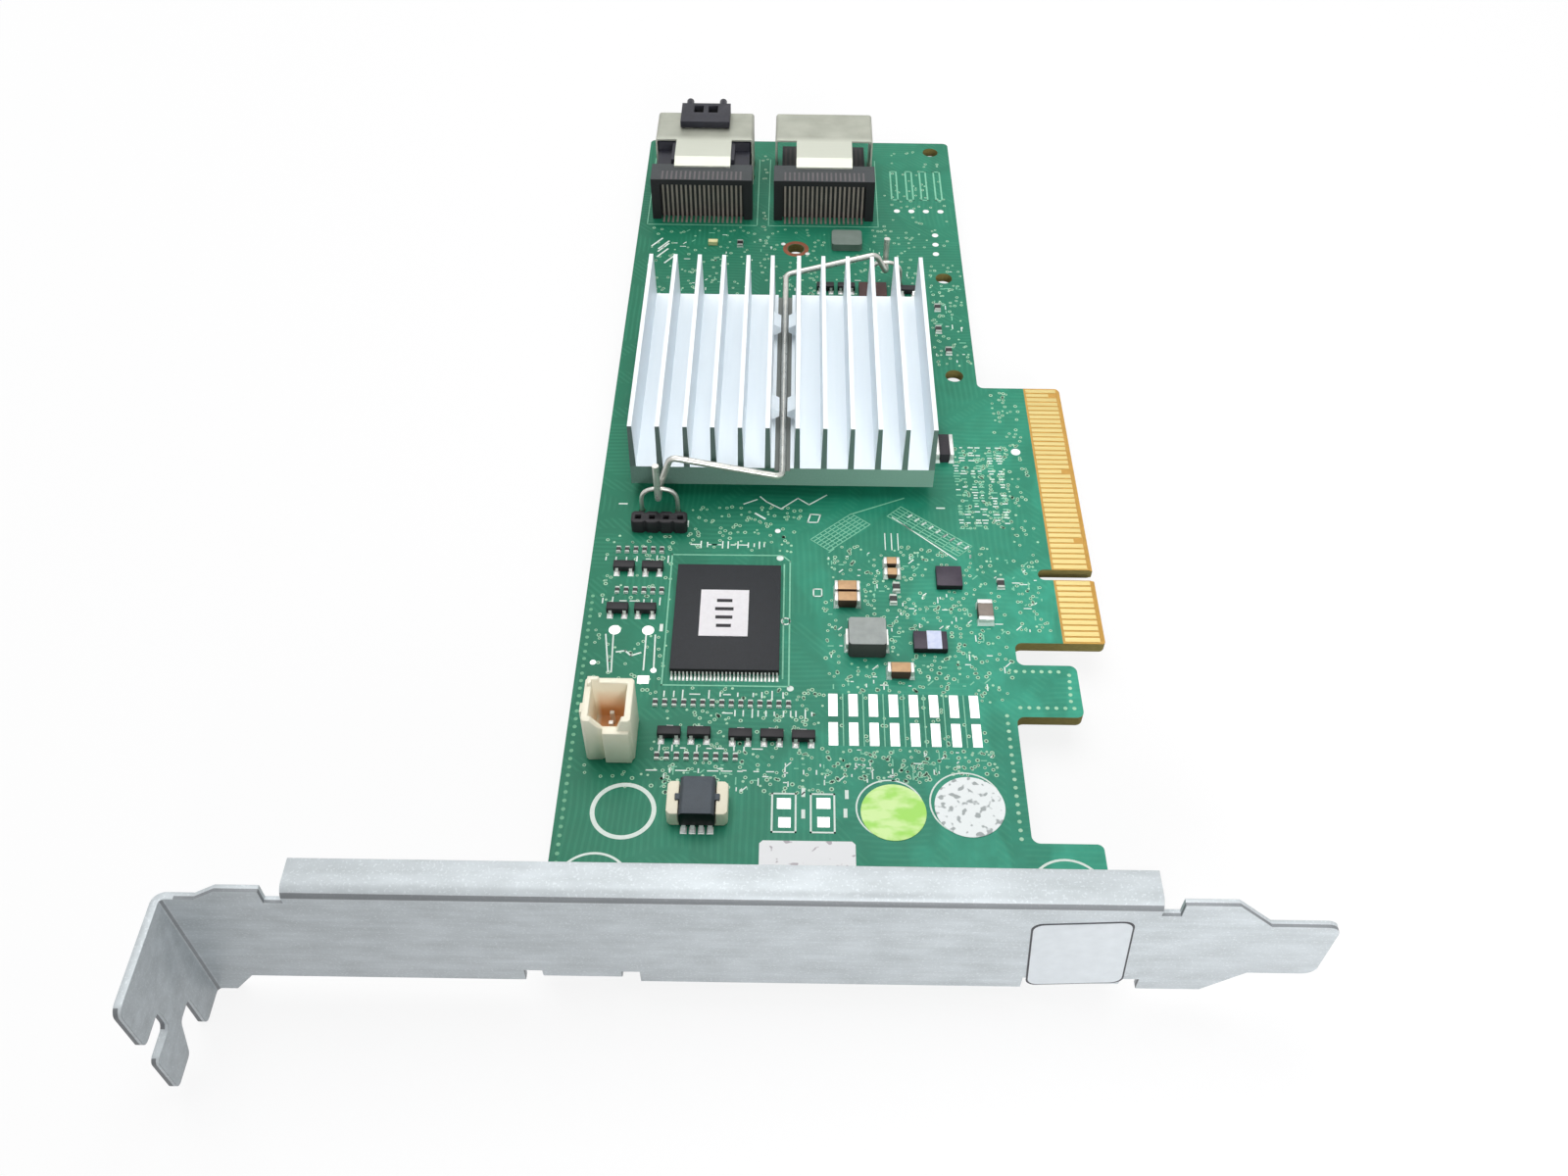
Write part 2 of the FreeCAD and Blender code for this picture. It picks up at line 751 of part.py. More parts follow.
# Dust plug in the left receptacle: hollow body round the blade, with a grip arm and two horns above the mouth
plug_x = receptacle_centers[0]
plug_half = shell_width / 2 - shell_sheet - plug_play
plug_rear = housing_front + plug_rear_gap
plug_front = receptacle_mouth + plug_face
plug_top = shell_height - shell_sheet - plug_play
plug = block(plug_x - plug_half, plug_x + plug_half, plug_rear, plug_front, plug_play, plug_top)
for side in (-1, 1):
    shoulder_x = plug_x + side * (plug_half - plug_shoulder / 2)
    plug = plug.cut(centred_block(shoulder_x, (plug_rear + shell_rear) / 2, plug_shoulder, shell_rear - plug_rear,
                                  plug_top - plug_shoulder_drop, plug_top))
plug = plug.cut(block(plug_x - blade_width / 2 - plug_play, plug_x + blade_width / 2 + plug_play,
                      plug_rear, blade_tip + plug_play, blade_height - plug_play, blade_top + plug_play))
arm_low = shell_height + plug_arm_lift
arm_high = arm_low + plug_arm_thickness
arm_left = plug_x - plug_arm_width / 2
arm_right = plug_x + plug_arm_width / 2
arm = block(arm_left, arm_right, plug_front - plug_arm_length, plug_front, arm_low, arm_high)
arm = arm.fuse(block(arm_left, arm_right, receptacle_mouth + plug_play, plug_front, plug_top, arm_low))
window_y = receptacle_mouth - plug_window_length / 2
for side in (-1, 1):
    window_x = plug_x + side * plug_window_spacing / 2
    arm = arm.cut(centred_block(window_x, window_y, plug_window_width, plug_window_length, arm_low, arm_high))
    horn_place = Vector(plug_x + side * horn_spacing / 2, plug_front, (arm_low + arm_high) / 2)
    arm = arm.fuse(Part.makeCylinder(horn_diameter / 2, horn_length, horn_place, Vector(0, 1, 0)))
save("dust_plug", [plug.fuse(arm).removeSplitter()])

# Socket strip: four moulded ways in a row, each with a square entry and a tail through the board
strip_center_x = across(strip_place_x)
ways = []
entries = []
tails = []
for way in range(strip_ways):
    way_x = strip_center_x + (way - (strip_ways - 1) / 2) * strip_pitch
    ways.append(chamfered(way_x, strip_center_y, strip_pitch, strip_depth, strip_notch, 0, strip_height))
    entries.append(centred_block(way_x, strip_center_y, strip_hole, strip_hole,
                                 strip_height - strip_hole_depth, strip_height))
    tails.append(centred_block(way_x, strip_center_y, strip_tail, strip_tail, solder_bottom, 0))
    hole = strip_tail + 2 * pin_clearance
    drilled.append(centred_block(way_x, strip_center_y, hole, hole, board_bottom, 0))
save("socket_strip", [ways[0].fuse(ways[1:]).cut(entries[0].fuse(entries[1:])).removeSplitter()])
save("socket_strip_tails", tails)

# Memory chip: thin moulded body, leads along both short ends, paper label on top
memory_center_x = across(memory_place_x)
memory_near = memory_center_y - memory_length / 2
memory_far = memory_center_y + memory_length / 2
memory_left = memory_center_x - memory_width / 2
memory_right = memory_center_x + memory_width / 2
memory_top = memory_standoff + memory_height
memory_parting = memory_standoff + memory_height / 2
save("memory_chip", [rounded_prism([
    (memory_near + memory_side_draft, memory_standoff, 0),
    (memory_far - memory_side_draft, memory_standoff, 0),
    (memory_far, memory_parting, 0),
    (memory_far - memory_side_draft, memory_top, 0),
    (memory_near + memory_side_draft, memory_top, 0),
    (memory_near, memory_parting, 0),
], on_yz, memory_left, memory_right)])
leads = []
for index in range(memory_leads):
    lead_x = memory_center_x + (index - (memory_leads - 1) / 2) * memory_pitch
    for out, end in ((-1, memory_near), (1, memory_far)):
        leads.append(gull_lead(lead_x, end, out, memory_lead_width, memory_lead_thickness, memory_parting,
                               memory_lead_reach - memory_lead_foot, memory_lead_reach))
save("memory_chip_leads", leads)
memory_label_x = memory_center_x - memory_label_shift
memory_label_y = memory_center_y + memory_label_shift
save("memory_chip_label", [centred_block(memory_label_x, memory_label_y, memory_label_width, memory_label_length,
                                         memory_top, memory_top + label_thickness)])

# Cable header: upright moulded shroud, its front wall dipped behind a proud panel, with a side rib and three pins
header_center_x = across(header_place_x)
header_left = header_center_x - header_width / 2
header_right = header_center_x + header_width / 2
header_front = header_center_y - header_depth / 2
dip_left = header_left + header_dip_start
header = chamfered(header_center_x, header_center_y, header_width, header_depth, header_corner, 0, header_height)
header = header.fuse(block(header_left - header_rib, header_left + header_wall, header_center_y - header_rib_width,
                           header_center_y, 0, header_height - header_tower))
header = header.fuse(block(header_left + header_corner, header_left + header_corner + header_rib_width,
                           header_center_y + header_depth / 2 - header_rib_width,
                           header_center_y + header_depth / 2 - header_corner,
                           header_height, header_height + header_tower))
header = header.cut(centred_block(header_center_x, header_center_y, header_width - 2 * header_wall,
                                  header_depth - 2 * header_wall, header_floor, header_height + header_tower))
header = header.fuse(block(dip_left, header_right - header_corner, header_front - header_panel_proud,
                           header_front, 0, header_height - header_dip))
header = header.cut(block(dip_left, dip_left + header_dip_width, header_front, header_front + header_wall,
                          header_height - header_dip, header_height))
header_posts = []
for index in range(header_pins):
    pin_y = header_center_y + (index - (header_pins - 1) / 2) * header_pin_pitch
    header_posts.append(centred_block(header_center_x, pin_y, header_pin, header_pin,
                                      solder_bottom, header_pin_top))
    fit = header_pin + 2 * press_clearance
    header = header.cut(centred_block(header_center_x, pin_y, fit, fit, 0, header_floor))
    hole = header_pin + 2 * pin_clearance
    drilled.append(centred_block(header_center_x, pin_y, hole, hole, board_bottom, 0))
save("cable_header", [header.removeSplitter()])
save("cable_header_pins", header_posts)

# Chip socket: moulded cradle with two side walls, and the chip that sits between them
socket_center_x = across(socket_place_x)
socket = chamfered(socket_center_x, socket_center_y, socket_width, socket_depth, socket_corner, 0, socket_height)
channel = socket_width - 2 * socket_wall
socket = socket.cut(centred_block(socket_center_x, socket_center_y, channel, socket_depth,
                                  socket_floor, socket_height))
save("chip_socket", [socket])
chip_half = channel / 2 - socket_play
chip_left = socket_center_x - chip_half
chip_right = socket_center_x + chip_half
socketed_top = socket_floor + socketed_chip_height
socketed_near = socket_center_y - socketed_chip_length / 2
socketed_far = socket_center_y + socketed_chip_length / 2
socketed_chip = rounded_prism([
    (chip_left, socket_floor, 0),
    (chip_right, socket_floor, 0),
    (chip_right, socketed_top - socketed_chip_chamfer, 0),
    (chip_right - socketed_chip_chamfer, socketed_top, 0),
    (chip_left + socketed_chip_chamfer, socketed_top, 0),
    (chip_left, socketed_top - socketed_chip_chamfer, 0),
], on_xz, socketed_near, socketed_far)
ears = centred_block(socket_center_x, socket_center_y, 2 * (chip_half + chip_ear_reach), chip_ear_length,
                     socket_height, socket_height + chip_ear_height)
save("socketed_chip", [socketed_chip.fuse(ears).removeSplitter()])
leads = []
for index in range(socket_leads_a_side):
    lead_x = socket_center_x + (index - (socket_leads_a_side - 1) / 2) * socket_lead_pitch
    for out, end in ((-1, socketed_near), (1, socketed_far)):
        leads.append(gull_lead(lead_x, end, out, socket_lead_width, socket_lead_thickness, socket_lead_root,
                               socket_lead_knee, socket_lead_reach))
save("socketed_chip_leads", leads)

# Inductor: pressed core with a terminal folded up each end
inductor_center_x = across(inductor_place_x)
core_left = inductor_center_x - inductor_width / 2
core_right = inductor_center_x + inductor_width / 2
save("inductor_core", [chamfered(inductor_center_x, inductor_center_y, inductor_width, inductor_depth,
                                 inductor_corner, 0, inductor_height)])
terminals = []
for outer, inner in ((core_left - inductor_terminal, core_left), (core_right, core_right + inductor_terminal)):
    terminals.append(block(outer, inner, inductor_center_y - inductor_terminal_width / 2,
                           inductor_center_y + inductor_terminal_width / 2, 0, inductor_terminal_height))
save("inductor_terminals", terminals)

# Capacitors: end caps left and right of each body, or near and far on the one that lies along the card
bodies = []
ends = []
for size, places in ((large_cap, large_cap_places), (small_cap, small_cap_places)):
    length, width, height = size
    for x, y in [(across(place_x), place_y) for place_x, place_y in places]:
        bodies.append(centred_block(x, y, length - 2 * cap_end, width, 0, height))
        for side in (-1, 1):
            ends.append(centred_block(x + side * (length - cap_end) / 2, y, cap_end, width, 0, height))
x, y = across(upright_cap_center[0]), upright_cap_center[1]
width, length, height = upright_cap
bodies.append(centred_block(x, y, width, length - 2 * upright_cap_end, 0, height))
for side in (-1, 1):
    ends.append(centred_block(x, y + side * (length - upright_cap_end) / 2, width, upright_cap_end, 0, height))
x, y = across(tantalum_center[0]), tantalum_center[1]
width, length, height = tantalum_size
save("tantalum_capacitor", [centred_block(x, y, width - 2 * tantalum_end, length, 0, height)])
for side in (-1, 1):
    ends.append(centred_block(x + side * (width - tantalum_end) / 2, y, tantalum_end, length, 0, height))
save("capacitor_bodies", bodies)
save("capacitor_ends", ends)

# Chip resistors: rows of small ones beside the chips and a few larger ones, end caps near and far
resistor_places = []
for (row_x, row_y), row_count in zip(resistor_rows, resistor_row_counts):
    resistor_places += [(across(row_x) + index * resistor_pitch, row_y) for index in range(row_count)]
large_resistors = [(across(x), y) for x, y in large_resistor_places]
bodies = []
ends = []
for size, end, places in ((resistor, resistor_end, resistor_places),
                          (large_resistor, large_resistor_end, large_resistors)):
    width, length, height = size
    for x, y in places:
        bodies.append(centred_block(x, y, width, length - 2 * end, 0, height))
        for side in (-1, 1):
            ends.append(centred_block(x, y + side * (length - end) / 2, width, end, 0, height))
save("resistor_bodies", bodies)
save("resistor_ends", ends)

# Transistors: small moulded bodies, two leads in front and one behind
bodies = []
leads = []
transistor_parting = transistor_standoff + transistor_height / 2
for x, y in [(across(place_x), place_y) for place_x, place_y in transistor_places]:
    bodies.append(centred_block(x, y, transistor_width, transistor_depth, transistor_standoff,
                                transistor_standoff + transistor_height))
    near = y - transistor_depth / 2
    far = y + transistor_depth / 2
    half = transistor_lead_spacing / 2
    for lead_x, end, out in ((x - half, near, -1), (x + half, near, -1), (x, far, 1)):
        leads.append(gull_lead(lead_x, end, out, transistor_lead_width, transistor_lead_thickness,
                               transistor_parting, transistor_lead_reach - transistor_lead_foot,
                               transistor_lead_reach))
save("transistor_bodies", bodies)
save("transistor_leads", leads)

# Regulator, buffer, driver chip with its label, lamp and oscillator can, soldered flat
for name, (place_x, y), size in (("regulator_chip", regulator_center, regulator_size),
                                 ("buffer_chip", buffer_center, buffer_size)):
    width, depth, height = size
    save(name, [centred_block(across(place_x), y, width, depth, 0, height)])
driver_x = across(driver_center[0])
driver_y = driver_center[1]
driver_width, driver_depth, driver_top = driver_size
save("driver_chip", [centred_block(driver_x, driver_y, driver_width, driver_depth, 0, driver_top)])
save("driver_chip_label", [centred_block(driver_x + driver_label_shift, driver_y, driver_label_width, driver_depth,
                                         driver_top, driver_top + label_thickness)])
lamp_y = housing_rear - lamp_behind_receptacle
save("status_lamp", [centred_block(receptacle_centers[0] + lamp_shift, lamp_y, *lamp_size[:2], 0, lamp_size[2])])
oscillator_x = receptacle_centers[1] + oscillator_shift
oscillator_y = housing_rear - oscillator_behind_receptacle
can_width, can_depth, can_height = oscillator_size
save("oscillator_can", [chamfered(oscillator_x, oscillator_y, can_width, can_depth, can_corner, 0, can_height)])

# Stickers, the board label and the row of bare tinned pads lie on the component face
for name, (place_x, y), diameter in (("green_sticker", green_sticker_center, green_sticker_diameter),
                                     ("white_sticker", white_sticker_center, white_sticker_diameter)):
    save(name, [post(across(place_x), y, diameter, 0, sticker_thickness)])
label_x = across(board_label_center[0])
label_y = board_label_center[1]
save("board_label", [chamfered(label_x, label_y, *board_label_size, board_label_corner, 0, label_thickness)])
pads = []
for pad_y in pad_rows:
    for column in range(pad_columns):
        pad_x = across(first_pad) + column * pad_pitch
        pads.append(centred_block(pad_x, pad_y, pad_width, pad_length, 0, pad_thickness))
save("tinned_pads", pads)

# Finger contacts: the same pads on both faces, with the presence contacts set back from the edge
for name, low, presence in (("top", 0, presence_top),
                            ("bottom", board_bottom - contact_thickness, presence_bottom)):
    fingers = []
    for number in range(1, short_tab_contacts + long_tab_contacts + 1):
        past_key = number - short_tab_contacts
        if past_key > 0:
            y = first_contact + (past_key - 1) * contact_pitch
        else:
            y = past_key * contact_pitch - first_contact
        front = -contact_setback - (presence_shortening if number in presence else 0)
        fingers.append(block(-contact_setback - contact_length, front,
                             y - contact_width / 2, y + contact_width / 2, low, low + contact_thickness))
    save("edge_contacts_" + name, fingers)

# Circuit board: one panel with its finger tabs, key slot, hook and end tab, drilled for every pin, leg and screw
hook_start = -short_tab_end - gap_width
hook_end = hook_start - hook_length
bay_end = hook_end - bay_length
board = rounded_prism([
    (-board_width, -near_end, board_corner),
    (-end_tab_setback, -near_end, end_tab_corner),
    (-end_tab_setback, bay_end, end_tab_corner),
    (-bay_setback, bay_end, board_corner),
    (-bay_setback, hook_end, board_corner),
    (-hook_setback, hook_end, board_corner),
    (-hook_setback, hook_start, board_corner),
    (-gap_setback, hook_start, board_corner),
    (-gap_setback, -short_tab_end, board_corner),
    (0, -short_tab_end, tab_margin),
    (0, -key_width / 2, 0),
    (-key_depth, -key_width / 2, key_width / 2),
    (-key_depth, key_width / 2, key_width / 2),
    (0, key_width / 2, 0),
    (0, long_tab_end, tab_margin),
    (-card_edge_setback, long_tab_end, board_corner),
    (-card_edge_setback, far_end, board_corner),
    (-board_width, far_end, board_corner),
], on_xy, board_bottom, 0)
bevel_drop = finger_bevel * math.tan(math.radians(finger_bevel_angle))
for face, drop in ((0, -bevel_drop), (board_bottom, bevel_drop)):
    wedge = [(-finger_bevel, face, 0), (0, face, 0), (0, face + drop, 0)]
    drilled.append(rounded_prism(wedge, on_xz, -short_tab_end, long_tab_end))
for hole_y in tooling_hole_places:
    hole_x = -card_edge_setback - tooling_hole_setback
    drilled.append(post(hole_x, hole_y, tooling_hole, board_bottom, 0))
drilled.append(post(across(centre_hole[0]), centre_hole[1], tooling_hole, board_bottom, 0))
save("circuit_board", [board.cut(drilled)])
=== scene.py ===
import math
import random

import bmesh
import bpy
from mathutils import Matrix, Vector
from mathutils.bvhtree import BVHTree


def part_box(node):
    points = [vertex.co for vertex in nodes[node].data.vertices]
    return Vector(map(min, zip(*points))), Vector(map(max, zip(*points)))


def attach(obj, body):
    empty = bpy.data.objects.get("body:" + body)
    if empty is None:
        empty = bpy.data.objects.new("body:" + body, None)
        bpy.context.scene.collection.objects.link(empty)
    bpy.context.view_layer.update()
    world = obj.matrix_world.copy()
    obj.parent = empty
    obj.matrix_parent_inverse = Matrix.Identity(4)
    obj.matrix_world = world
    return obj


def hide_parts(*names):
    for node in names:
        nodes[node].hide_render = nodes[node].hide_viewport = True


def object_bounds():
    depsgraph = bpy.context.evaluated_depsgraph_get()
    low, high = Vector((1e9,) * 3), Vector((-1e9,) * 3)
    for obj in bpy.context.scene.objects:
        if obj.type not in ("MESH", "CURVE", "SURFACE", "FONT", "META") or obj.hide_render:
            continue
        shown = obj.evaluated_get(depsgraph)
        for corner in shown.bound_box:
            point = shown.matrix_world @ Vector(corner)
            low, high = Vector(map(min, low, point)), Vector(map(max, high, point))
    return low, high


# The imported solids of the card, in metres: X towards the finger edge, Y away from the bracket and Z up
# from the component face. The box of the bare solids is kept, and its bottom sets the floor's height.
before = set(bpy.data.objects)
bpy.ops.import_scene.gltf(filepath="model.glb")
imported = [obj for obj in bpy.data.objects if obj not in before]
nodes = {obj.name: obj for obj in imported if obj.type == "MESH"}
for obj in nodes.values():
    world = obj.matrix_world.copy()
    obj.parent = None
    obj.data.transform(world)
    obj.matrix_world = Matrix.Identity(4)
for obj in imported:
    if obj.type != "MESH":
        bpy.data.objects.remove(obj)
solid_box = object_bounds()
mm = 0.001

# Camera: a short lens close in front of the bracket, a hand's height above it, looking down along the card.
# Its place and turn were fitted to the corners of the board.
camera_place = Vector((-41.837, -127.200, 139.491)) * mm
camera_turn = math.radians(0.215)
camera_dip = math.radians(48.339)
camera_lean = math.radians(0.647)
camera = bpy.data.objects.new("camera", bpy.data.cameras.new("camera"))
camera.data.sensor_width = 36.0
camera.data.lens = 31.66
camera.data.clip_start = 0.01
camera.matrix_world = (
    Matrix.Translation(camera_place)
    @ Matrix.Rotation(camera_turn, 4, "Z")
    @ Matrix.Rotation(math.pi / 2 - camera_dip, 4, "X")
    @ Matrix.Rotation(camera_lean, 4, "Z")
)
bpy.context.collection.objects.link(camera)
bpy.context.scene.camera = camera
bpy.context.scene.view_settings.view_transform = "Standard"


# Circuit board: glass laminate with copper on it, under a glossy green solder mask. The mask stops short of
# the fingers, where the bare laminate shows, and the routed edges and drilled walls are raw laminate.
class Paint:
    """A socket in a finish, so that shader maths reads as plain sums."""

    def __init__(self, tree, socket=None):
        self.tree = tree
        self.socket = socket

    def node(self, kind, settings, sockets, output=0):
        """A new node of a kind, its settings set first, then its sockets filled or linked."""
        fresh = self.tree.nodes.new("ShaderNode" + kind)
        for name, setting in settings.items():
            setattr(fresh, name, setting)
        for name, value in sockets.items():
            if isinstance(value, Paint):
                self.tree.links.new(value.socket, fresh.inputs[name])
            else:
                fresh.inputs[name].default_value = value
        return Paint(self.tree, fresh.outputs[output] if fresh.outputs else None)

    def other(self, output):
        """Another output of the same node."""
        return Paint(self.tree, self.socket.node.outputs[output])

    def maths(self, operation, first, second=0.0):
        return self.node("Math", {"operation": operation}, {0: first, 1: second})

    def __add__(self, value):
        return self.maths("ADD", self, value)

    def __sub__(self, value):
        return self.maths("SUBTRACT", self, value)

    def __rsub__(self, value):
        return self.maths("SUBTRACT", value, self)

    def __mul__(self, value):
        return self.maths("MULTIPLY", self, value)

    def __gt__(self, value):
        return self.maths("GREATER_THAN", self, value)

    def __lt__(self, value):
        return self.maths("LESS_THAN", self, value)

    def __abs__(self):
        return self.maths("ABSOLUTE", self)

    __radd__ = __add__
    __rmul__ = __mul__


def tint(red, green, blue):
    """Linear colour from the red, green and blue of a paint card, each 0 to 255."""
    shares = [value / 255 for value in (red, green, blue)]
    linear = [share / 12.92 if share <= 0.04045 else ((share + 0.055) / 1.055) ** 2.4 for share in shares]
    return linear + [1.0]


def new_finish(name):
    material = bpy.data.materials.new(name)
    material.use_nodes = True
    material.node_tree.nodes.clear()
    return material, Paint(material.node_tree)


def surface(paint, sockets):
    shader = paint.node("BsdfPrincipled", {}, sockets)
    paint.node("OutputMaterial", {}, {"Surface": shader})


def blend(factor, first, second):
    return factor.node("Mix", {"data_type": "RGBA"}, {0: factor, 6: first, 7: second}, 2)


def grain(paint, scale, detail=3.0, stretch=(1, 1, 1)):
    """Cloudy noise with scale patches to the metre, drawn out where stretch is small."""
    place = paint.node("TexCoord", {}, {}, "Object")
    place = paint.node("Mapping", {}, {"Vector": place, "Scale": stretch})
    return paint.node("TexNoise", {}, {"Vector": place, "Scale": scale, "Detail": detail})


def relief(height, depth, strength=1.0):
    return height.node("Bump", {}, {"Strength": strength, "Distance": depth, "Height": height})


def step(value, edge, blur):
    """Nought below the edge and one above it, blurred over the given span."""
    return value.node("MapRange", {}, {0: value, 1: edge - blur / 2, 2: edge + blur / 2})


def split(paint, kind, output):
    """The X, Y and Z of the vector that a node gives."""
    parts = paint.node("SeparateXYZ", {}, {0: paint.node(kind, {}, {}, output)}, "X")
    return parts, parts.other("Y"), parts.other("Z")


def position(paint):
    """Where a point lies on the card, in metres."""
    return split(paint, "TexCoord", "Object")


def facing(paint):
    """Which way the surface faces there."""
    return split(paint, "NewGeometry", "Normal")


def wear(material, *names):
    """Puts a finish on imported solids, whose shape stays."""
    for name in names:
        nodes[name].material_slots[0].material = material


def bundle(paint, along, across, pitch, patch, threshold):
    """A bundle of parallel copper tracks, kept to the patches of a cloud."""
    ridge = paint.maths("SINE", (along + across) * (2 * math.pi / pitch))
    return step(ridge, 0.25, 0.5) * step(patch, threshold, 0.02)


solder_mask, paint = new_finish("solder_mask")
board_x, board_y, _ = position(paint)
_, _, upward = facing(paint)
flat_face = abs(upward) > 0.5
finger_margin = 5.6 * mm
finger_near_end = -12.6 * mm
finger_zone = (board_x > -finger_margin) * (board_y > finger_near_end)
pour = step(grain(paint, 85, 1.0, (1, 0.6, 1)), 0.5, 0.03)
routing = grain(paint, 62, 0.0)
sway = grain(paint, 45, 1.0) * (3 * mm)
track_pitch = 0.8 * mm
slanted_pitch = 1.1 * mm
between_runs = 1 - abs(routing - 0.5) * 10
tracks = bundle(paint, board_x, sway, track_pitch, routing, 0.57)
tracks = tracks + bundle(paint, board_y, sway, track_pitch, 1 - routing, 0.57)
tracks = tracks + bundle(paint, board_x + sway, board_y, slanted_pitch, between_runs, 0.7)
mottle = grain(paint, 420, 4.0)
# The mask is painted lighter and bluer towards the right and towards the bracket: a painted sheen.
painted_sheen_across = step(board_x, -38 * mm, 70 * mm)
painted_sheen_near = 1 - step(board_y, 15 * mm, 60 * mm) * 0.7
mask_colour = blend(painted_sheen_across * painted_sheen_near, tint(16, 112, 82), tint(53, 164, 137))
mask_colour = blend(pour * 0.35, mask_colour, tint(12, 102, 76))
mask_colour = blend(tracks * 0.1, mask_colour, tint(92, 188, 150))
mask_colour = blend(step(mottle, 0.5, 0.3) * 0.3, mask_colour, tint(18, 108, 80))
pads_low, pads_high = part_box("tinned_pads")
pads_middle, pads_reach = (pads_low + pads_high) / 2, (pads_high - pads_low) / 2
# Round the tinned pads the mask is painted darker: painted shade between the pads.
pad_field_shade = (abs(board_x - pads_middle.x) < pads_reach.x) * (abs(board_y - pads_middle.y) < pads_reach.y)
mask_colour = blend(pad_field_shade * 0.4, mask_colour, tint(20, 98, 76))
laminate = blend(grain(paint, 1500, 2.0, (1, 1, 5)), tint(98, 92, 46), tint(142, 130, 78))
bare = blend(grain(paint, 800), tint(188, 142, 62), tint(208, 162, 82))
colour = blend(finger_zone, mask_colour, bare)
colour = blend(flat_face, laminate, colour)
copper_height = pour * 0.5 + tracks + mottle * 0.4
surface(paint, {
    "Base Color": colour,
    "Roughness": 0.72 - flat_face * 0.36 + grain(paint, 300) * 0.12,
    "Specular IOR Level": 0.25,
    "Normal": relief(copper_height, 0.015 * mm, 0.4),
})
wear(solder_mask, "circuit_board")


# Vias: plated holes half closed by the mask, pale rings with dark middles, in stitched rows along the card's
# edges and in loose clusters between the parts. They stand a hair above the mask.
via_height = 0.012
via_hole_height = 0.018
via_radius = 0.26
via_pitch = 1.2
via_smallest = 0.17
via_largest = 0.31
via_open = 0.2
via_clearance = 0.3
board_rim = 0.5


def made(name, mesh, material, slot, *stands_for):
    """The object of a finished mesh, which rides with the card and may stand for solids."""
    bmesh.ops.recalc_face_normals(mesh, faces=mesh.faces)
    data = bpy.data.meshes.new(name)
    mesh.to_mesh(data)
    mesh.free()
    data.materials.append(material)
    piece = bpy.data.objects.new(name, data)
    bpy.context.collection.objects.link(piece)
    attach(piece, "root")
    if stands_for:
        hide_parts(*stands_for)
    return piece


def dot(mesh, x, y, radius, height, sides=10):
    """A flat round spot on the card, in millimetres."""
    centre = Matrix.Translation(Vector((x, y, height / 2)) * mm)
    bmesh.ops.create_cone(mesh, cap_ends=True, segments=sides, radius1=radius * mm, radius2=radius * mm,
                          depth=height * mm, matrix=centre)


def lumps(name):
    """Lowest and highest corner of each separate solid of a node."""
    mesh = bmesh.new()
    mesh.from_mesh(nodes[name].data)
    bmesh.ops.remove_doubles(mesh, verts=mesh.verts, dist=1e-7)
    unseen = set(mesh.verts)
    found = []
    for start in mesh.verts:
        if start in unseen:
            unseen.discard(start)
            group = [start]
            for vert in group:
                joined = [edge.other_vert(vert) for edge in vert.link_edges]
                fresh = [other for other in joined if other in unseen]
                unseen.difference_update(fresh)
                group += fresh
            corners = [vert.co for vert in group]
            found.append((Vector(map(min, *corners)), Vector(map(max, *corners))))
    mesh.free()
    return found


off_board = ("circuit_board", "bracket", "edge_contacts_top", "edge_contacts_bottom", "heatsink_clip")
taken = [box for name in nodes if name not in off_board for box in lumps(name)]
board_mesh = bmesh.new()
board_mesh.from_mesh(nodes["circuit_board"].data)
board_tree = BVHTree.FromBMesh(board_mesh)
board_mesh.free()


def free(x, y, margin):
    """Whether a place, in millimetres, is clear of each part by the margin and well inside the card's rim."""
    gap = margin * mm
    for low, high in taken:
        beside = low.x - gap < x * mm < high.x + gap
        if beside and low.y - gap < y * mm < high.y + gap:
            return False
    for side, end in ((-1, -1), (-1, 1), (1, -1), (1, 1)):
        above = Vector((x + side * board_rim, y + end * board_rim, 1.0)) * mm
        hit = board_tree.ray_cast(above, Vector((0, 0, -1)))[0]
        if hit is None or hit.z < -0.1 * mm:
            return False
    return True


chance = random.Random(11)
vias = bmesh.new()
via_holes = bmesh.new()
stitched_rows = (
    ((-68.0, -5.0), (-68.0, -53.0)), ((-14.1, -24.0), (-14.1, -41.8)),
    ((-12.3, -22.7), (-5.5, -22.7)), ((-12.3, -16.9), (-6.8, -16.9)), ((-5.5, -17.4), (-5.8, -21.6)),
)
for start, end in stitched_rows:
    run = Vector(end) - Vector(start)
    count = round(run.length / via_pitch)
    for index in range(count + 1):
        x, y = Vector(start) + run * index / count
        dot(vias, x, y, via_radius, via_height)
via_clusters = (
    (-17.5, -9.8, 8.5, 25.5, 150), (-11.0, -6.9, -13.0, 38.0, 130), (-37.0, -12.5, -20.5, 5.0, 420),
    (-36.0, -16.0, -34.5, -29.4, 150), (-57.0, -36.0, -36.5, -20.2, 260), (-67.0, -57.5, -22.5, 6.5, 130),
    (-66.5, -20.0, 56.0, 82.0, 300), (-18.8, -13.2, 43.0, 72.0, 90), (-66.5, -55.0, -36.0, -25.0, 50),
    (-56.0, -40.0, 3.6, 12.5, 90), (-26.0, -14.0, 75.0, 108.0, 70), (-40.0, -14.0, -22.0, -20.2, 50),
    (-47.5, -46.5, 82.0, 106.0, 16), (-36.0, -17.0, -28.6, -21.0, 60),
)
for left, right, near, far, count in via_clusters:
    for _ in range(count):
        x, y = chance.uniform(left, right), chance.uniform(near, far)
        radius = chance.uniform(via_smallest, via_largest)
        if free(x, y, via_clearance):
            dot(vias, x, y, radius, via_height, 8)
            if radius > via_open:
                dot(via_holes, x, y, radius * 0.5, via_hole_height, 6)
via_tin, paint = new_finish("via_tin")
across, _, _ = position(paint)
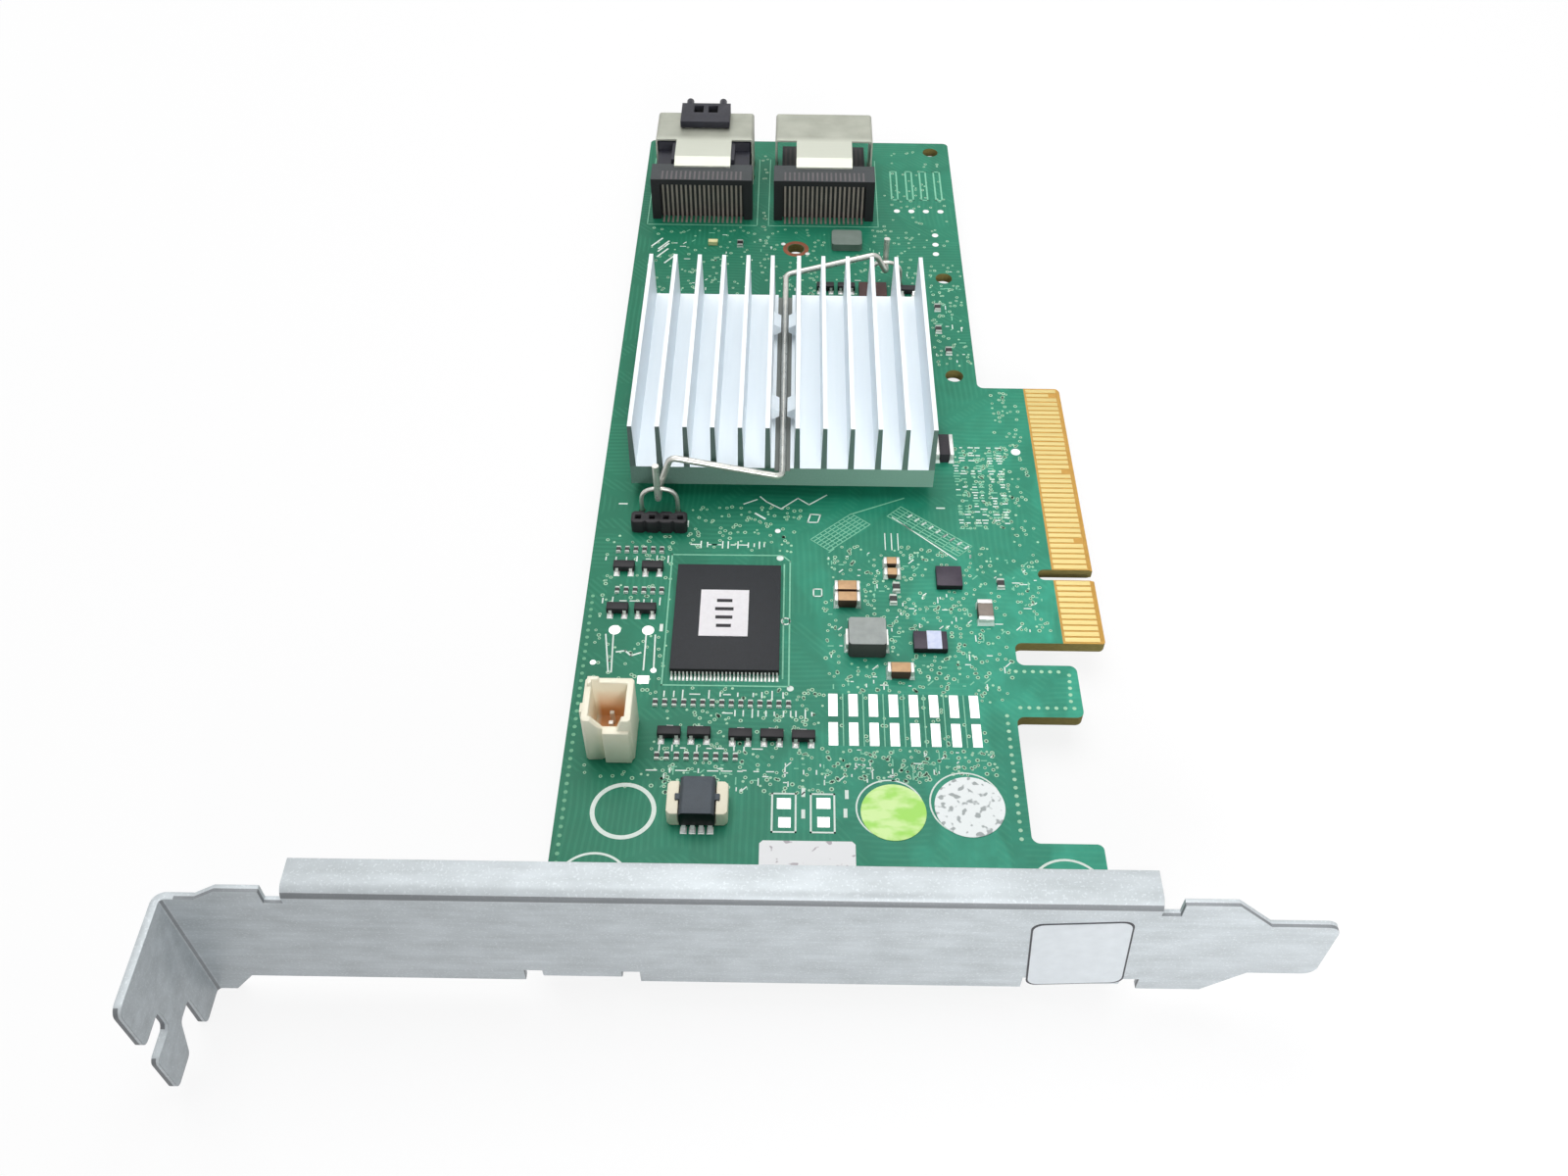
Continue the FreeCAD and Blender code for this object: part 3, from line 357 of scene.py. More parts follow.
left_row = across < -67.5 * mm
tinned = blend(grain(paint, 700), tint(104, 180, 138), tint(196, 228, 200))
masked = blend(grain(paint, 500), tint(58, 142, 104), tint(112, 184, 142))
surface(paint, {
    "Base Color": blend(left_row, tinned, masked),
    "Roughness": 0.3 + grain(paint, 2500) * 0.2,
})
made("vias", vias, via_tin, "board_mask")
via_shade, paint = new_finish("via_shade")
surface(paint, {
    "Base Color": blend(grain(paint, 700), tint(10, 44, 34), tint(24, 74, 56)),
    "Roughness": 0.4 + grain(paint, 2500) * 0.2,
})
made("via_holes", via_holes, via_shade, "board_mask")


# Printed legend: white ink screened on the mask, with outlines round the parts, rings at the screws and short
# dashes beside the small parts. Where the ink is thin, the mask shows through.
ink_height = 0.02
legend = bmesh.new()
pale_legend = bmesh.new()


def stroke(mesh, start, end, width, low, high):
    """A straight flat bar between two places on the card, in millimetres."""
    run = Vector(end) - Vector(start)
    middle = (Vector(start) + Vector(end)) / 2
    spread = Matrix.Diagonal(Vector((run.length + width, width, high - low)) * mm).to_4x4()
    centre = Matrix.Translation(Vector((middle.x, middle.y, (low + high) / 2)) * mm)
    turn = Matrix.Rotation(math.atan2(run.y, run.x), 4, "Z")
    bmesh.ops.create_cube(mesh, size=1.0, matrix=centre @ turn @ spread)


def hoop(mesh, x, y, radius, width, height, sides=48):
    """A flat ring on the card, in millimetres, spun from its section."""
    corners = []
    for side, level in ((-1, 0), (1, 0), (1, height), (-1, height)):
        corners.append(mesh.verts.new(Vector((x + radius + side * width / 2, y, level)) * mm))
    edges = [mesh.edges.new(pair) for pair in zip(corners, corners[1:] + corners[:1])]
    bmesh.ops.spin(mesh, geom=corners + edges, cent=Vector((x, y, 0)) * mm, axis=(0, 0, 1), angle=2 * math.pi,
                   steps=sides, use_merge=True)


def polyline(mesh, places, width, closed=False):
    """Bars of ink from place to place, in millimetres, and back to the first where closed."""
    ends = places[1:] + places[:1] if closed else places[1:]
    for start, end in zip(places, ends):
        stroke(mesh, start, end, width, 0, ink_height)


screw_ring = 4.3
screw_ring_width = 0.3
for screw_low, screw_high in lumps("bracket_screws"):
    middle = (screw_low + screw_high) / 2 / mm
    hoop(legend, middle.x, middle.y, screw_ring, screw_ring_width, ink_height)
for x, y, radius, width in ((-60.9, -38.7, 3.65, 0.55), (-29.3, -37.9, 4.0, 0.2), (-20.2, -37.0, 4.3, 0.2)):
    hoop(legend, x, y, radius, width, ink_height)
memory_outline = [(-57.8, 2.8), (-42.6, 2.9), (-41.5, 1.8), (-41.5, -19.9), (-57.7, -19.9)]
polyline(pale_legend, memory_outline, 0.2, True)
polyline(pale_legend, [(-42.3, 1.2), (-42.3, -18.6)], 0.2)
hoop(legend, -42.0, -9.0, 0.55, 0.2, ink_height, 20)
dot(legend, -42.9, 2.4, 0.5, ink_height)
dot(legend, -41.3, -20.2, 0.45, ink_height)
behind_header = (
    (0.2, [(-65.6, -11.7), (-64.7, -17.9)]), (0.2, [(-64.6, -11.8), (-64.3, -17.9)]),
    (0.2, [(-60.3, -11.6), (-60.2, -17.5)]), (0.2, [(-59.1, -11.7), (-58.9, -17.2)]),
    (0.24, [(-63.9, -14.6), (-62.8, -14.4), (-62.0, -15.2), (-60.8, -14.7)]),
)
for width, places in behind_header:
    polyline(legend, places, width)
frame_near = -41.3
frame_far = -36.0
for left, right in ((-43.3, -40.5), (-38.7, -35.9)):
    corners = [(left, frame_far), (right, frame_far), (right, frame_near), (left, frame_near)]
    polyline(legend, corners, 0.22, True)
for x, y in ((-39.6, -35.8), (-39.6, -38.8), (-34.6, -38.6), (-34.4, -36.0), (-56.1, 8.8), (-58.4, -10.4)):
    polyline(legend, [(x, y - 0.4), (x, y + 0.4)], 0.45)
before_heatsink = (
    (0.2, False, [(-45.9, 14.4), (-45.0, 13.4), (-42.9, 12.0), (-40.5, 14.2), (-38.9, 12.9), (-36.4, 14.9)]),
    (0.2, False, [(-48.2, 12.9), (-46.4, 13.8)]),
    (0.3, False, [(-46.5, 11.0), (-45.2, 10.0)]),
    (0.2, True, [(-39.1, 9.4), (-37.7, 9.4), (-37.3, 10.9), (-38.7, 11.0)]),
    (0.18, True, [(-38.3, -4.5), (-37.2, -4.5), (-37.2, -3.2), (-38.3, -3.2)]),
)
for width, closed, places in before_heatsink:
    polyline(legend, places, width, closed)
for x in (-28.3, -27.4, -26.5):
    polyline(legend, [(x, 7.4), (x, 4.3)], 0.14)
slot_near = 91.2
slot_far = 100.6
slot_half = 0.55
for x in (-23.4, -20.6, -18.0, -15.4):
    left, right = x - slot_half, x + slot_half
    corners = [(left, slot_far), (right, slot_far), (right, slot_near), (left, slot_near)]
    polyline(pale_legend, corners, 0.28, True)
housing_boxes = (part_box("receptacle_housing_left"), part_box("receptacle_housing_right"))
outline_far = 104.0
for low, high in housing_boxes:
    left, right, near = low.x / mm - 0.9, high.x / mm + 0.9, low.y / mm - 1.7
    polyline(pale_legend, [(left, outline_far), (left, near), (right, near), (right, outline_far)], 0.16)
low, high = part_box("heatsink")
for x, y in ((low.x / mm - 1.2, low.y / mm - 2.0), (high.x / mm + 1.2, low.y / mm - 2.0)):
    polyline(legend, [(x - 0.5, y), (x + 0.5, y)], 0.25)
dash_rows = (
    (-54.6, -45.0, 4.8, 14), (-57.4, -42.0, -21.3, 12), (-66.6, -58.6, 1.9, 7), (-66.6, -58.6, -5.8, 7),
    (-49.0, -38.4, -24.2, 12), (-57.6, -45.0, -29.6, 9), (-57.6, -38.0, -32.9, 12),
)
for left, right, y, count in dash_rows:
    for index in range(count):
        x = left + (right - left) * (index + chance.uniform(-0.25, 0.25)) / (count - 1)
        length = chance.choice((0.25, 0.4, 0.6))
        if free(x, y, 0.25):
            upright = chance.random() < 0.6
            ends = [(x, y - length), (x, y + length)] if upright else [(x - length, y), (x + length, y)]
            polyline(legend, ends, 0.18)
for _ in range(5):
    slant = chance.uniform(0, 1)
    x, y = -66.0 + 4.0 * slant, 79.0 - 9.0 * slant + chance.uniform(-1.5, 1.5)
    polyline(legend, [(x - 0.8, y - 1.1), (x + 0.8, y + 1.1)], 0.3)
dash_clusters = (
    (-36.5, -13.0, -20.0, 4.0, 130), (-18.6, -13.2, 43.0, 70.0, 30), (-66.0, -20.0, 57.0, 81.0, 70),
    (-35.0, -16.5, -34.0, -29.4, 60), (-57.0, -36.0, -36.0, -31.5, 46), (-12.0, -7.5, -12.0, 4.0, 24),
)
for left, right, near, far, count in dash_clusters:
    for _ in range(count):
        x, y = chance.uniform(left, right), chance.uniform(near, far)
        length = chance.choice((0.12, 0.2, 0.3, 0.45))
        ink = chance.choice((legend, pale_legend))
        if free(x, y, 0.5):
            slanted = (0.7 * length, 0.7 * length)
            lie = Vector(chance.choice(((0, length), (length, 0), (0, length), slanted)))
            polyline(ink, [Vector((x, y)) - lie, Vector((x, y)) + lie], 0.16)
column_start = 8.6
column_step = 0.56
for column in (-17.3, -16.3, -14.9, -13.9, -12.2, -10.8):
    for index in range(31):
        y = column_start + index * column_step
        length = chance.uniform(0.1, 0.4)
        if chance.random() < 0.7 and free(column, y, 0.4):
            ink = chance.choice((legend, pale_legend))
            polyline(ink, [(column - length, y), (column + length, y)], 0.2)
pads = lumps("tinned_pads")
pad_columns = sorted({round((low.x + high.x) / 2 / mm, 1) for low, high in pads})
pad_near, pad_far = min(low.y for low, high in pads) / mm, max(high.y for low, high in pads) / mm
for before, after in zip(pad_columns, pad_columns[1:]):
    polyline(pale_legend, [((before + after) / 2, pad_near), ((before + after) / 2, pad_far)], 0.14)
hatched_fields = (
    (Vector((-37.4, 5.0)), Vector((-31.6, 10.2)), Vector((2.6, -2.1)), 7),
    (Vector((-26.8, 11.8)), Vector((-17.2, 4.2)), Vector((2.0, 1.9)), 6),
)
rungs = 10
for left_end, right_end, depth, count in hatched_fields:
    for index in range(count):
        move = depth * index / (count - 1) - depth / 2
        polyline(pale_legend, [left_end + move, right_end + move], 0.14)
    for index in range(rungs):
        foot = left_end.lerp(right_end, index / (rungs - 1))
        polyline(pale_legend, [foot - depth / 2, foot + depth / 2], 0.12)
polyline(pale_legend, [(-33.0, 11.1), (-25.3, 14.5)], 0.2)
polyline(legend, [(-27.1, 10.6), (-18.6, 2.6)], 0.18)
ticks = 9
tick = Vector((0.25, 0.2))
for index in range(ticks):
    middle = Vector((-24.6, 10.9)).lerp(Vector((-17.0, 4.9)), index / (ticks - 1))
    polyline(legend, [middle - tick, middle + tick], 0.3)


def legend_ink(name, thin, thick):
    material, paint = new_finish(name)
    patchy = grain(paint, 1600)
    surface(paint, {"Base Color": blend(patchy, thin, thick), "Roughness": 0.5 + patchy * 0.2,
                    "Normal": relief(patchy, 0.01 * mm)})
    return material


white_ink = legend_ink("legend_ink", tint(206, 226, 214), tint(244, 248, 244))
made("legend", legend, white_ink, "label_paper")
thin_ink = legend_ink("legend_thin_ink", tint(96, 178, 142), tint(150, 212, 184))
made("legend_pale", pale_legend, thin_ink, "label_paper")

# Bare lands and solder: tinned copper lands with nothing on them, the plated ring of the drilled hole behind
# the heatsink, and bright fillets of solder round the feet of the leads, terminals and end caps.
land_height = 0.03
ring_height = 0.025
fillet_skin = 0.02 * mm
lands = bmesh.new()
oblong_lands = (
    (-41.9, -37.4, 1.35, 1.5), (-41.8, -40.0, 1.35, 1.4), (-37.2, -37.3, 1.35, 1.5),
    (-37.2, -39.9, 1.35, 1.4), (-60.1, -19.1, 1.5, 1.3),
)
for x, y, width, depth in oblong_lands:
    stroke(lands, (x - width / 2 + depth / 2, y), (x + width / 2 - depth / 2, y), depth, 0, land_height)
round_lands = (
    (-64.5, -10.9, 0.8), (-60.1, -10.9, 0.8), (-23.2, 87.6, 0.55), (-20.6, 87.6, 0.55), (-18.0, 87.6, 0.55),
    (-15.4, 87.6, 0.55), (-16.8, 80.2, 0.55), (-16.9, 77.4, 0.55), (-17.0, 74.6, 0.55), (-66.8, -16.4, 0.4),
    (-58.9, -17.6, 0.4), (-43.3, 7.6, 0.4), (-8.2, 24.6, 0.7), (-43.4, 77.0, 0.4), (-39.2, 74.2, 0.4),
    (-16.0, -6.6, 0.5),
)
for x, y, radius in round_lands:
    dot(lands, x, y, radius, land_height, 16)
fillets = {
    "resistor_ends": (0.06, 0.25), "capacitor_ends": (0.14, 0.5), "transistor_leads": (0.2, 0.12),
    "memory_chip_leads": (0.06, 0.06), "inductor_terminals": (0.2, 0.5), "socketed_chip_leads": (0.15, 0.08),
}
for name, (spread, rise) in fillets.items():
    for low, high in lumps(name):
        middle = (low + high) / 2
        half = (high - low) / 2
        for vert in bmesh.ops.create_cube(lands, size=1.0)["verts"]:
            foot = vert.co.z < 0
            reach = spread * mm if foot else fillet_skin
            vert.co = Vector((middle.x + math.copysign(half.x + reach, vert.co.x),
                              middle.y + math.copysign(half.y + reach, vert.co.y),
                              0.0 if foot else rise * mm))
solder, paint = new_finish("bright_solder")
dimple = grain(paint, 1400)
surface(paint, {
    "Base Color": blend(dimple, tint(212, 215, 214), tint(250, 250, 248)),
    "Metallic": 0.55,
    "Roughness": 0.28 + dimple * 0.25,
    "Normal": relief(dimple, 0.03 * mm),
})
made("solder_lands", lands, solder, "solder_tin")
wear(solder, "tinned_pads")
plated_ring = bmesh.new()
hoop(plated_ring, -41.2, 75.6, 1.85, 0.75, ring_height)
copper, paint = new_finish("plated_copper")
surface(paint, {
    "Base Color": blend(grain(paint, 900), tint(112, 62, 46), tint(160, 98, 70)),
    "Metallic": 0.6,
    "Roughness": 0.35 + grain(paint, 1500) * 0.2,
})
made("plated_ring", plated_ring, copper, "finger_gold")

# Finger contacts: hard gold over nickel, plated on both faces of the finger tabs. Plugging in has left faint
# scratches along them.
gold, paint = new_finish("hard_gold")
scratches = grain(paint, 900, 3.0, (0.06, 3, 1))
surface(paint, {
    "Base Color": blend(scratches, tint(190, 166, 96), tint(218, 202, 140)),
    "Metallic": 0.5,
    "Roughness": 0.26 + scratches * 0.2,
    "Normal": relief(scratches, 0.01 * mm),
})
wear(gold, "edge_contacts_top", "edge_contacts_bottom")


# Controller chip: a sealed flat package, with a soft grey thermal pad on top that carries its heat away. Both
# are almost hidden under the heatsink.
def moulded(name, dark, light, scale, rough, depth, side=None, **fixed):
    """A moulded stuff whose colour, gloss and pitting wander. Its upright faces may carry a painted shade."""
    material, paint = new_finish(name)
    cloud = grain(paint, scale)
    pits = grain(paint, scale * 7, 2.0)
    colour = blend(cloud, dark, light)
    # Upright faces take the darker colour: painted shade, as if lit less than the top.
    if side:
        _, _, upward = facing(paint)
        colour = blend(step(upward, 0.6, 0.3), side, colour)
    surface(paint, {"Base Color": colour, "Roughness": cloud * 0.2 + (rough - 0.1),
                    "Normal": relief(pits, depth * mm), "Specular IOR Level": 0.3, **fixed})
    return material


package_black = moulded("package_black", tint(34, 31, 36), tint(52, 48, 54), 500, 0.55, 0.03)
wear(package_black, "controller_chip")
wear(moulded("thermal_compound", tint(120, 122, 126), tint(150, 152, 156), 600, 0.8, 0.04), "thermal_pad")

# Heatsink: extruded aluminium, sawn to length and bead blasted to a pale satin. Fine die lines run along the
# fins, and the channel walls are crimped over the clip wire in two places.
wire_x = -42.8
groove_half = 1.12 * mm
groove_top = 5.4 * mm
sink_base = 3.3 * mm
end_skin = 0.5 * mm
sink_low, sink_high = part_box("heatsink")
sink_middle, sink_reach = (sink_low.y + sink_high.y) / 2, (sink_high.y - sink_low.y) / 2
aluminium, paint = new_finish("satin_aluminium")
die_lines = grain(paint, 1500, 2.0, (1, 0.02, 1))
blasting = grain(paint, 5200, 2.0)
sheen = grain(paint, 60, 1.0)
across, along, up = position(paint)
_, end_on, _ = facing(paint)
# Along the wire's groove the floor is painted darker grey: painted shade beside the wire.
groove_shade = (abs(across - wire_x * mm) < groove_half) * (up < groove_top)
colour = blend(die_lines * 0.6 + sheen * 0.4, tint(234, 242, 248), tint(246, 251, 254))
colour = blend(groove_shade, colour, tint(118, 123, 119))
# The end faces are painted green grey, lighter to the right, and the fins' ends darker grey: painted
# reflection of the green board and painted shade.
end_reflection_and_shade = blend(step(across, wire_x * mm, 34 * mm), tint(82, 111, 102), tint(120, 158, 143))
end_reflection_and_shade = blend(blasting * 0.3, end_reflection_and_shade, tint(170, 200, 188))
fin_end_shade = up > sink_low.z + sink_base
end_reflection_and_shade = blend(fin_end_shade * 0.6, end_reflection_and_shade, tint(80, 85, 89))
shaded_end = (abs(end_on) > 0.9) * (abs(along - sink_middle) > sink_reach - end_skin)
colour = blend(shaded_end, colour, end_reflection_and_shade)
surface(paint, {
    "Base Color": colour,
    "Metallic": 0.15,
    "Roughness": 0.42 + blasting * 0.14,
    "Normal": relief(die_lines * 0.6 + blasting * 0.4, 0.03 * mm, 0.6),
})
wear(aluminium, "heatsink")


# Heatsink clip and anchors: one bent spring wire along the channel, hooked under two wire loops that are
# soldered into the board. The drawn wire is plain steel with a slight warm tarnish.
def smooth(piece, crease=40):
    """Smooth shading, with an edge kept where faces turn by more than the crease in degrees."""
    piece.data.shade_smooth()
    piece.data.set_sharp_from_angle(angle=math.radians(crease))


def bent_wire(name, corners, thickness, bend, material, slot, node):
    """A round wire along straight runs that turns tightly at each corner, or in one arch if bend is None."""
    line = [corners[0]]
    for before, corner, after in zip(corners, corners[1:], corners[2:]):
        for end in (before, after):
            run = Vector(end) - Vector(corner)
            near = [Vector(corner) + run.normalized() * min(1.6 * bend, 0.46 * run.length)] if bend else []
            line += near + [Vector(corner)] if end is before else near
    line.append(corners[-1])
    curve = bpy.data.curves.new(name, "CURVE")
    curve.dimensions = "3D"
    curve.bevel_depth = thickness / 2 * mm
    curve.bevel_resolution = 3
    curve.resolution_u = 5
    curve.use_fill_caps = True
    spline = curve.splines.new("NURBS")
    spline.points.add(len(line) - 1)
    for point, corner in zip(spline.points, line):
        point.co = (*(Vector(corner) * mm), 1.0)
    spline.order_u = 3
    spline.use_endpoint_u = True
    holder = bpy.data.objects.new(name + "_line", curve)
    mesh = bmesh.new()
    tube = bpy.data.meshes.new_from_object(holder)
    mesh.from_mesh(tube)
    bmesh.ops.remove_doubles(mesh, verts=mesh.verts, dist=1e-7)
    bpy.data.objects.remove(holder)
    bpy.data.meshes.remove(tube)
    smooth(made(name, mesh, material, slot, node), 50)


spring_wire, paint = new_finish("spring_wire")
drawing = grain(paint, 700, 3.0)
surface(paint, {
    "Base Color": blend(drawing, tint(178, 177, 170), tint(228, 227, 221)),
    "Metallic": 0.7,
    "Roughness": 0.22 + grain(paint, 3000) * 0.16,
    "Normal": relief(grain(paint, 4000), 0.01 * mm),
})
clip_wire = 0.95
clip_bend = 1.3
clip_route = [
    (-60.1, 10.0, 9.95), (-60.1, 10.0, 3.35), (-60.1, 12.8, 3.35), (-58.3, 12.8, 8.94), (wire_x, 12.8, 5.54),
    (wire_x, 60.3, 5.54), (-28.0, 64.5, 6.74), (-26.2, 64.5, 3.35), (-26.2, 67.3, 3.35), (-26.2, 67.3, 7.95),
]
bent_wire("clip_wire", clip_route, clip_wire, clip_bend, spring_wire, "spring_steel", "heatsink_clip")
anchor_wire = 0.65
loop_half = 2.55
loop_top = 4.3
leg_start = -0.5
leg_end = -2.37
for side, hook_x, hook_y in (("near", -60.1, 11.4), ("far", -26.2, 65.9)):
    left, right = hook_x - loop_half, hook_x + loop_half
    loop = [(left, hook_y, leg_end), (left, hook_y, leg_start), (left, hook_y, loop_top),
            (right, hook_y, loop_top), (right, hook_y, leg_start), (right, hook_y, leg_end)]
    bent_wire("anchor_wire_" + side, loop, anchor_wire, None, spring_wire, "spring_steel", "clip_anchors")

# Cable receptacles: black moulded housings with a row of bent contacts, and a plated steel shell round each
# mouth, with a strap that reaches back to the housing. The left one is closed by a black dust plug that only
# rests in it.
# The housings' upright faces take the darker colour: painted shade.
housing_black = moulded("housing_black", tint(48, 52, 54), tint(68, 73, 75), 450, 0.5, 0.03, tint(34, 32, 35))
wear(housing_black, "receptacle_housing_left", "receptacle_housing_right")
shade_start_depth = 3 * mm
contact_bronze, paint = new_finish("contact_bronze")
_, along, _ = position(paint)
colour = blend(grain(paint, 600), tint(132, 119, 112), tint(168, 156, 147))
# Contacts deeper in the housing than this are painted dark: painted shade inside the housing.
colour = blend(along > housing_boxes[0][0].y + shade_start_depth, colour, tint(66, 60, 62))
surface(paint, {
    "Base Color": colour,
    "Metallic": 0.2,
    "Roughness": 0.36 + grain(paint, 900) * 0.15,
})
wear(contact_bronze, "receptacle_contacts_left", "receptacle_contacts_right")
rib_grey = moulded("rib_grey", tint(78, 74, 76), tint(112, 106, 108), 600, 0.5, 0.02)
rib_count = 18
rib_pitch = 0.8
rib_width = 0.32
rib_height = 0.04
rib_start = 0.3
rib_end = 2.6
ribs = bmesh.new()
for low, high in housing_boxes:
    rear, top, middle = low.y / mm, high.z / mm, (low.x + high.x) / 2 / mm
    for index in range(rib_count):
        x = middle + (index - (rib_count - 1) / 2) * rib_pitch
        stroke(ribs, (x, rear + rib_start), (x, rear + rib_end), rib_width, top, top + rib_height)
made("housing_ribs", ribs, rib_grey, "black_plastic")
strap_edge = 96.2 * mm
shell_plate, paint = new_finish("shell_plate")
rolled = grain(paint, 1200, 3.0, (0.2, 1, 1))
tarnish = grain(paint, 260, 3.0)
_, along, _ = position(paint)
# Past the strap's edge the plate is painted paler: a painted highlight on the strap's lip.
lip_highlight = step(along, strap_edge, 1.6 * mm)
colour = blend(tarnish, tint(142, 144, 132), tint(184, 187, 174))
surface(paint, {
    "Base Color": blend(lip_highlight, tint(196, 199, 186), colour),
    "Metallic": 0.4,
    "Roughness": 0.36 + rolled * 0.2,
    "Normal": relief(rolled, 0.02 * mm),
})
wear(shell_plate, "receptacle_shell_left", "receptacle_shell_right")


def broken(mesh, width):
    """Breaks the sharp edges of a mesh, to the width in millimetres."""
    sharp = [edge for edge in mesh.edges if edge.is_manifold and edge.calc_face_angle() > math.radians(35)]
    bmesh.ops.bevel(mesh, geom=sharp, offset=width * mm, offset_type="OFFSET", affect="EDGES", segments=2,
                    profile=0.5, material=-1, clamp_overlap=True)


def copied(name):
    """A node's mesh with its triangles merged into whole faces."""
    mesh = bmesh.new()
    mesh.from_mesh(nodes[name].data)
    bmesh.ops.remove_doubles(mesh, verts=mesh.verts, dist=1e-7)
    bmesh.ops.dissolve_limit(mesh, angle_limit=math.radians(1), verts=mesh.verts, edges=mesh.edges)
    return mesh


def rounded(name, width, material, slot):
    """A copy of a moulded node with its sharp edges broken, which stands for the node."""
    mesh = copied(name)
    broken(mesh, width)
    smooth(made(name + "_rounded", mesh, material, slot, name))


plug_black = moulded("plug_black", tint(24, 24, 31), tint(44, 45, 56), 700, 0.45, 0.03)
rounded("dust_plug", 0.15, plug_black, "black_plastic")

# Socket strip: a black moulded row of four ways, at the left edge in front of the heatsink. Its tinned tails
# go down into the board.
strip_black = moulded("strip_black", tint(22, 21, 24), tint(40, 38, 42), 700, 0.5, 0.03)
rounded("socket_strip", 0.1, strip_black, "black_plastic")
wear(solder, "socket_strip_tails")

# Memory chip: a thin black package with a moulding line and bright gull leads along its short ends, soldered
# flat. A white paper label with four plain bars is stuck on top.
# Its upright faces take the near black colour: painted shade.
memory_black = moulded("memory_black", tint(26, 28, 31), tint(44, 46, 50), 900, 0.6, 0.03, tint(12, 12, 14))
rounded("memory_chip", 0.06, memory_black, "package_plastic")
lead_tin, paint = new_finish("lead_tin")
wiped = grain(paint, 1800)
surface(paint, {
    "Base Color": blend(wiped, tint(188, 188, 186), tint(240, 240, 236)),
    "Metallic": 0.6,
    "Roughness": 0.3 + wiped * 0.2,
    "Normal": relief(wiped, 0.01 * mm),
})
wear(lead_tin, "memory_chip_leads", "transistor_leads", "cable_header_pins")
paper = moulded("label_paper_white", tint(226, 223, 226), tint(240, 238, 241), 1500, 0.65, 0.02)
wear(paper, "memory_chip_label")
print_ink = moulded("print_ink", tint(26, 24, 28), tint(48, 46, 50), 1500, 0.6, 0.01)
label_low, label_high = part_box("memory_chip_label")
label_top = label_high.z / mm
label_x = (label_low.x + label_high.x) / 2 / mm
bar_inset = 1.9
bar_step = 1.45
bar_width = 0.55
bar_height = 0.012
bars = bmesh.new()
for row, length in enumerate((1.5, 1.9, 1.7, 1.4)):
    y = label_high.y / mm - bar_inset - row * bar_step
    left, right = label_x - length / 2, label_x + length / 2
    stroke(bars, (left, y), (right, y), bar_width, label_top, label_top + bar_height)
made("label_bars", bars, print_ink, "label_paper")

# Cable header: an upright cream nylon shroud, open at the top over three tinned pins. Its lip falls away in
# front from both corners to a low panel, and light comes warm through the walls deep in the well.
notch_left, notch_right = -63.6, -61.9
lip_corners = {notch_left: -64.9, notch_right: -61.2}
lip_level = 7.9
front_wall = -30.0
shroud_front = -31.55
groove_start = -64.15
groove_depth = 0.35
shroud = copied("cable_header")
for vert in shroud.verts:
    x, y, z = vert.co / mm
    for corner, moved in lip_corners.items():
        if abs(x - corner) < 0.05 and y < front_wall and z > lip_level:
            vert.co.x = moved * mm
left_panel = Vector((-64.8, shroud_front, 4))
front_face = min(shroud.faces, key=lambda face: (face.calc_center_median() / mm - left_panel).length)
bmesh.ops.bisect_plane(shroud, geom=[front_face, *front_face.edges, *front_face.verts], dist=1e-7,
                       plane_co=Vector((groove_start, 0, 0)) * mm, plane_no=(1, 0, 0))
for vert in shroud.verts:
    if (vert.co.xy / mm - Vector((notch_left, shroud_front))).length < 0.02:
        vert.co.y += groove_depth * mm
broken(shroud, 0.12)
bmesh.ops.remove_doubles(shroud, verts=shroud.verts, dist=0.002 * mm)
low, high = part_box("cable_header_pins")
well_x, well_y = (low.x + high.x) / 2, (low.y + high.y) / 2
well_width = 1.7 * mm
well_length = 2.62 * mm
glow_level = 4.6 * mm
glow_fade = 4.0 * mm
cream, paint = new_finish("cream_nylon")
across, along, up = position(paint)
well = (1 - step(abs(across - well_x), well_width, 0.6 * mm)) * (abs(along - well_y) < well_length)
depth = 1 - step(up, glow_level, glow_fade)
warm = blend(grain(paint, 500), tint(240, 233, 208), tint(250, 246, 228))
surface(paint, {
    "Base Color": blend(well * depth * 0.9, warm, tint(218, 146, 82)),
    "Roughness": 0.42 + grain(paint, 900) * 0.12,
    "Normal": relief(grain(paint, 3500), 0.02 * mm),
})
smooth(made("cable_header_rounded", shroud, cream, "cream_plastic", "cable_header"))

# Chip socket: a cream cradle soldered to the board, and a small slate grey chip held between its walls, with
# a row of bright leads in front and behind.
socket_cream = moulded("socket_cream", tint(240, 231, 204), tint(252, 246, 226), 600, 0.45, 0.03)
rounded("chip_socket", 0.12, socket_cream, "cream_plastic")
# The chip's upright faces take the near black colour: painted shade.
chip_slate = moulded("chip_slate", tint(58, 65, 72), tint(84, 92, 100), 900, 0.5, 0.03, tint(14, 14, 16))
rounded("socketed_chip", 0.08, chip_slate, "package_plastic")
# A paler copy of the lead tin, without metal: painted light, so that leads lying in shade read bright.
lit_lead_tin = moulded("lit_lead_tin", tint(230, 235, 231), tint(250, 252, 250), 1500, 0.35, 0.01)
wear(lit_lead_tin, "socketed_chip_leads")

# Inductor: a pressed ferrite core, pale grey and a little porous. The folded tin terminals at its ends are
# soldered to the board.
# The core's upright faces are painted dark: painted shade under a pale grey top.
ferrite_shaded_side = tint(58, 62, 59)
ferrite = moulded("pressed_ferrite", tint(142, 148, 146), tint(178, 184, 181), 900, 0.7, 0.06, ferrite_shaded_side)
rounded("inductor_core", 0.12, ferrite, "ferrite_grey")
wear(lead_tin, "inductor_terminals")

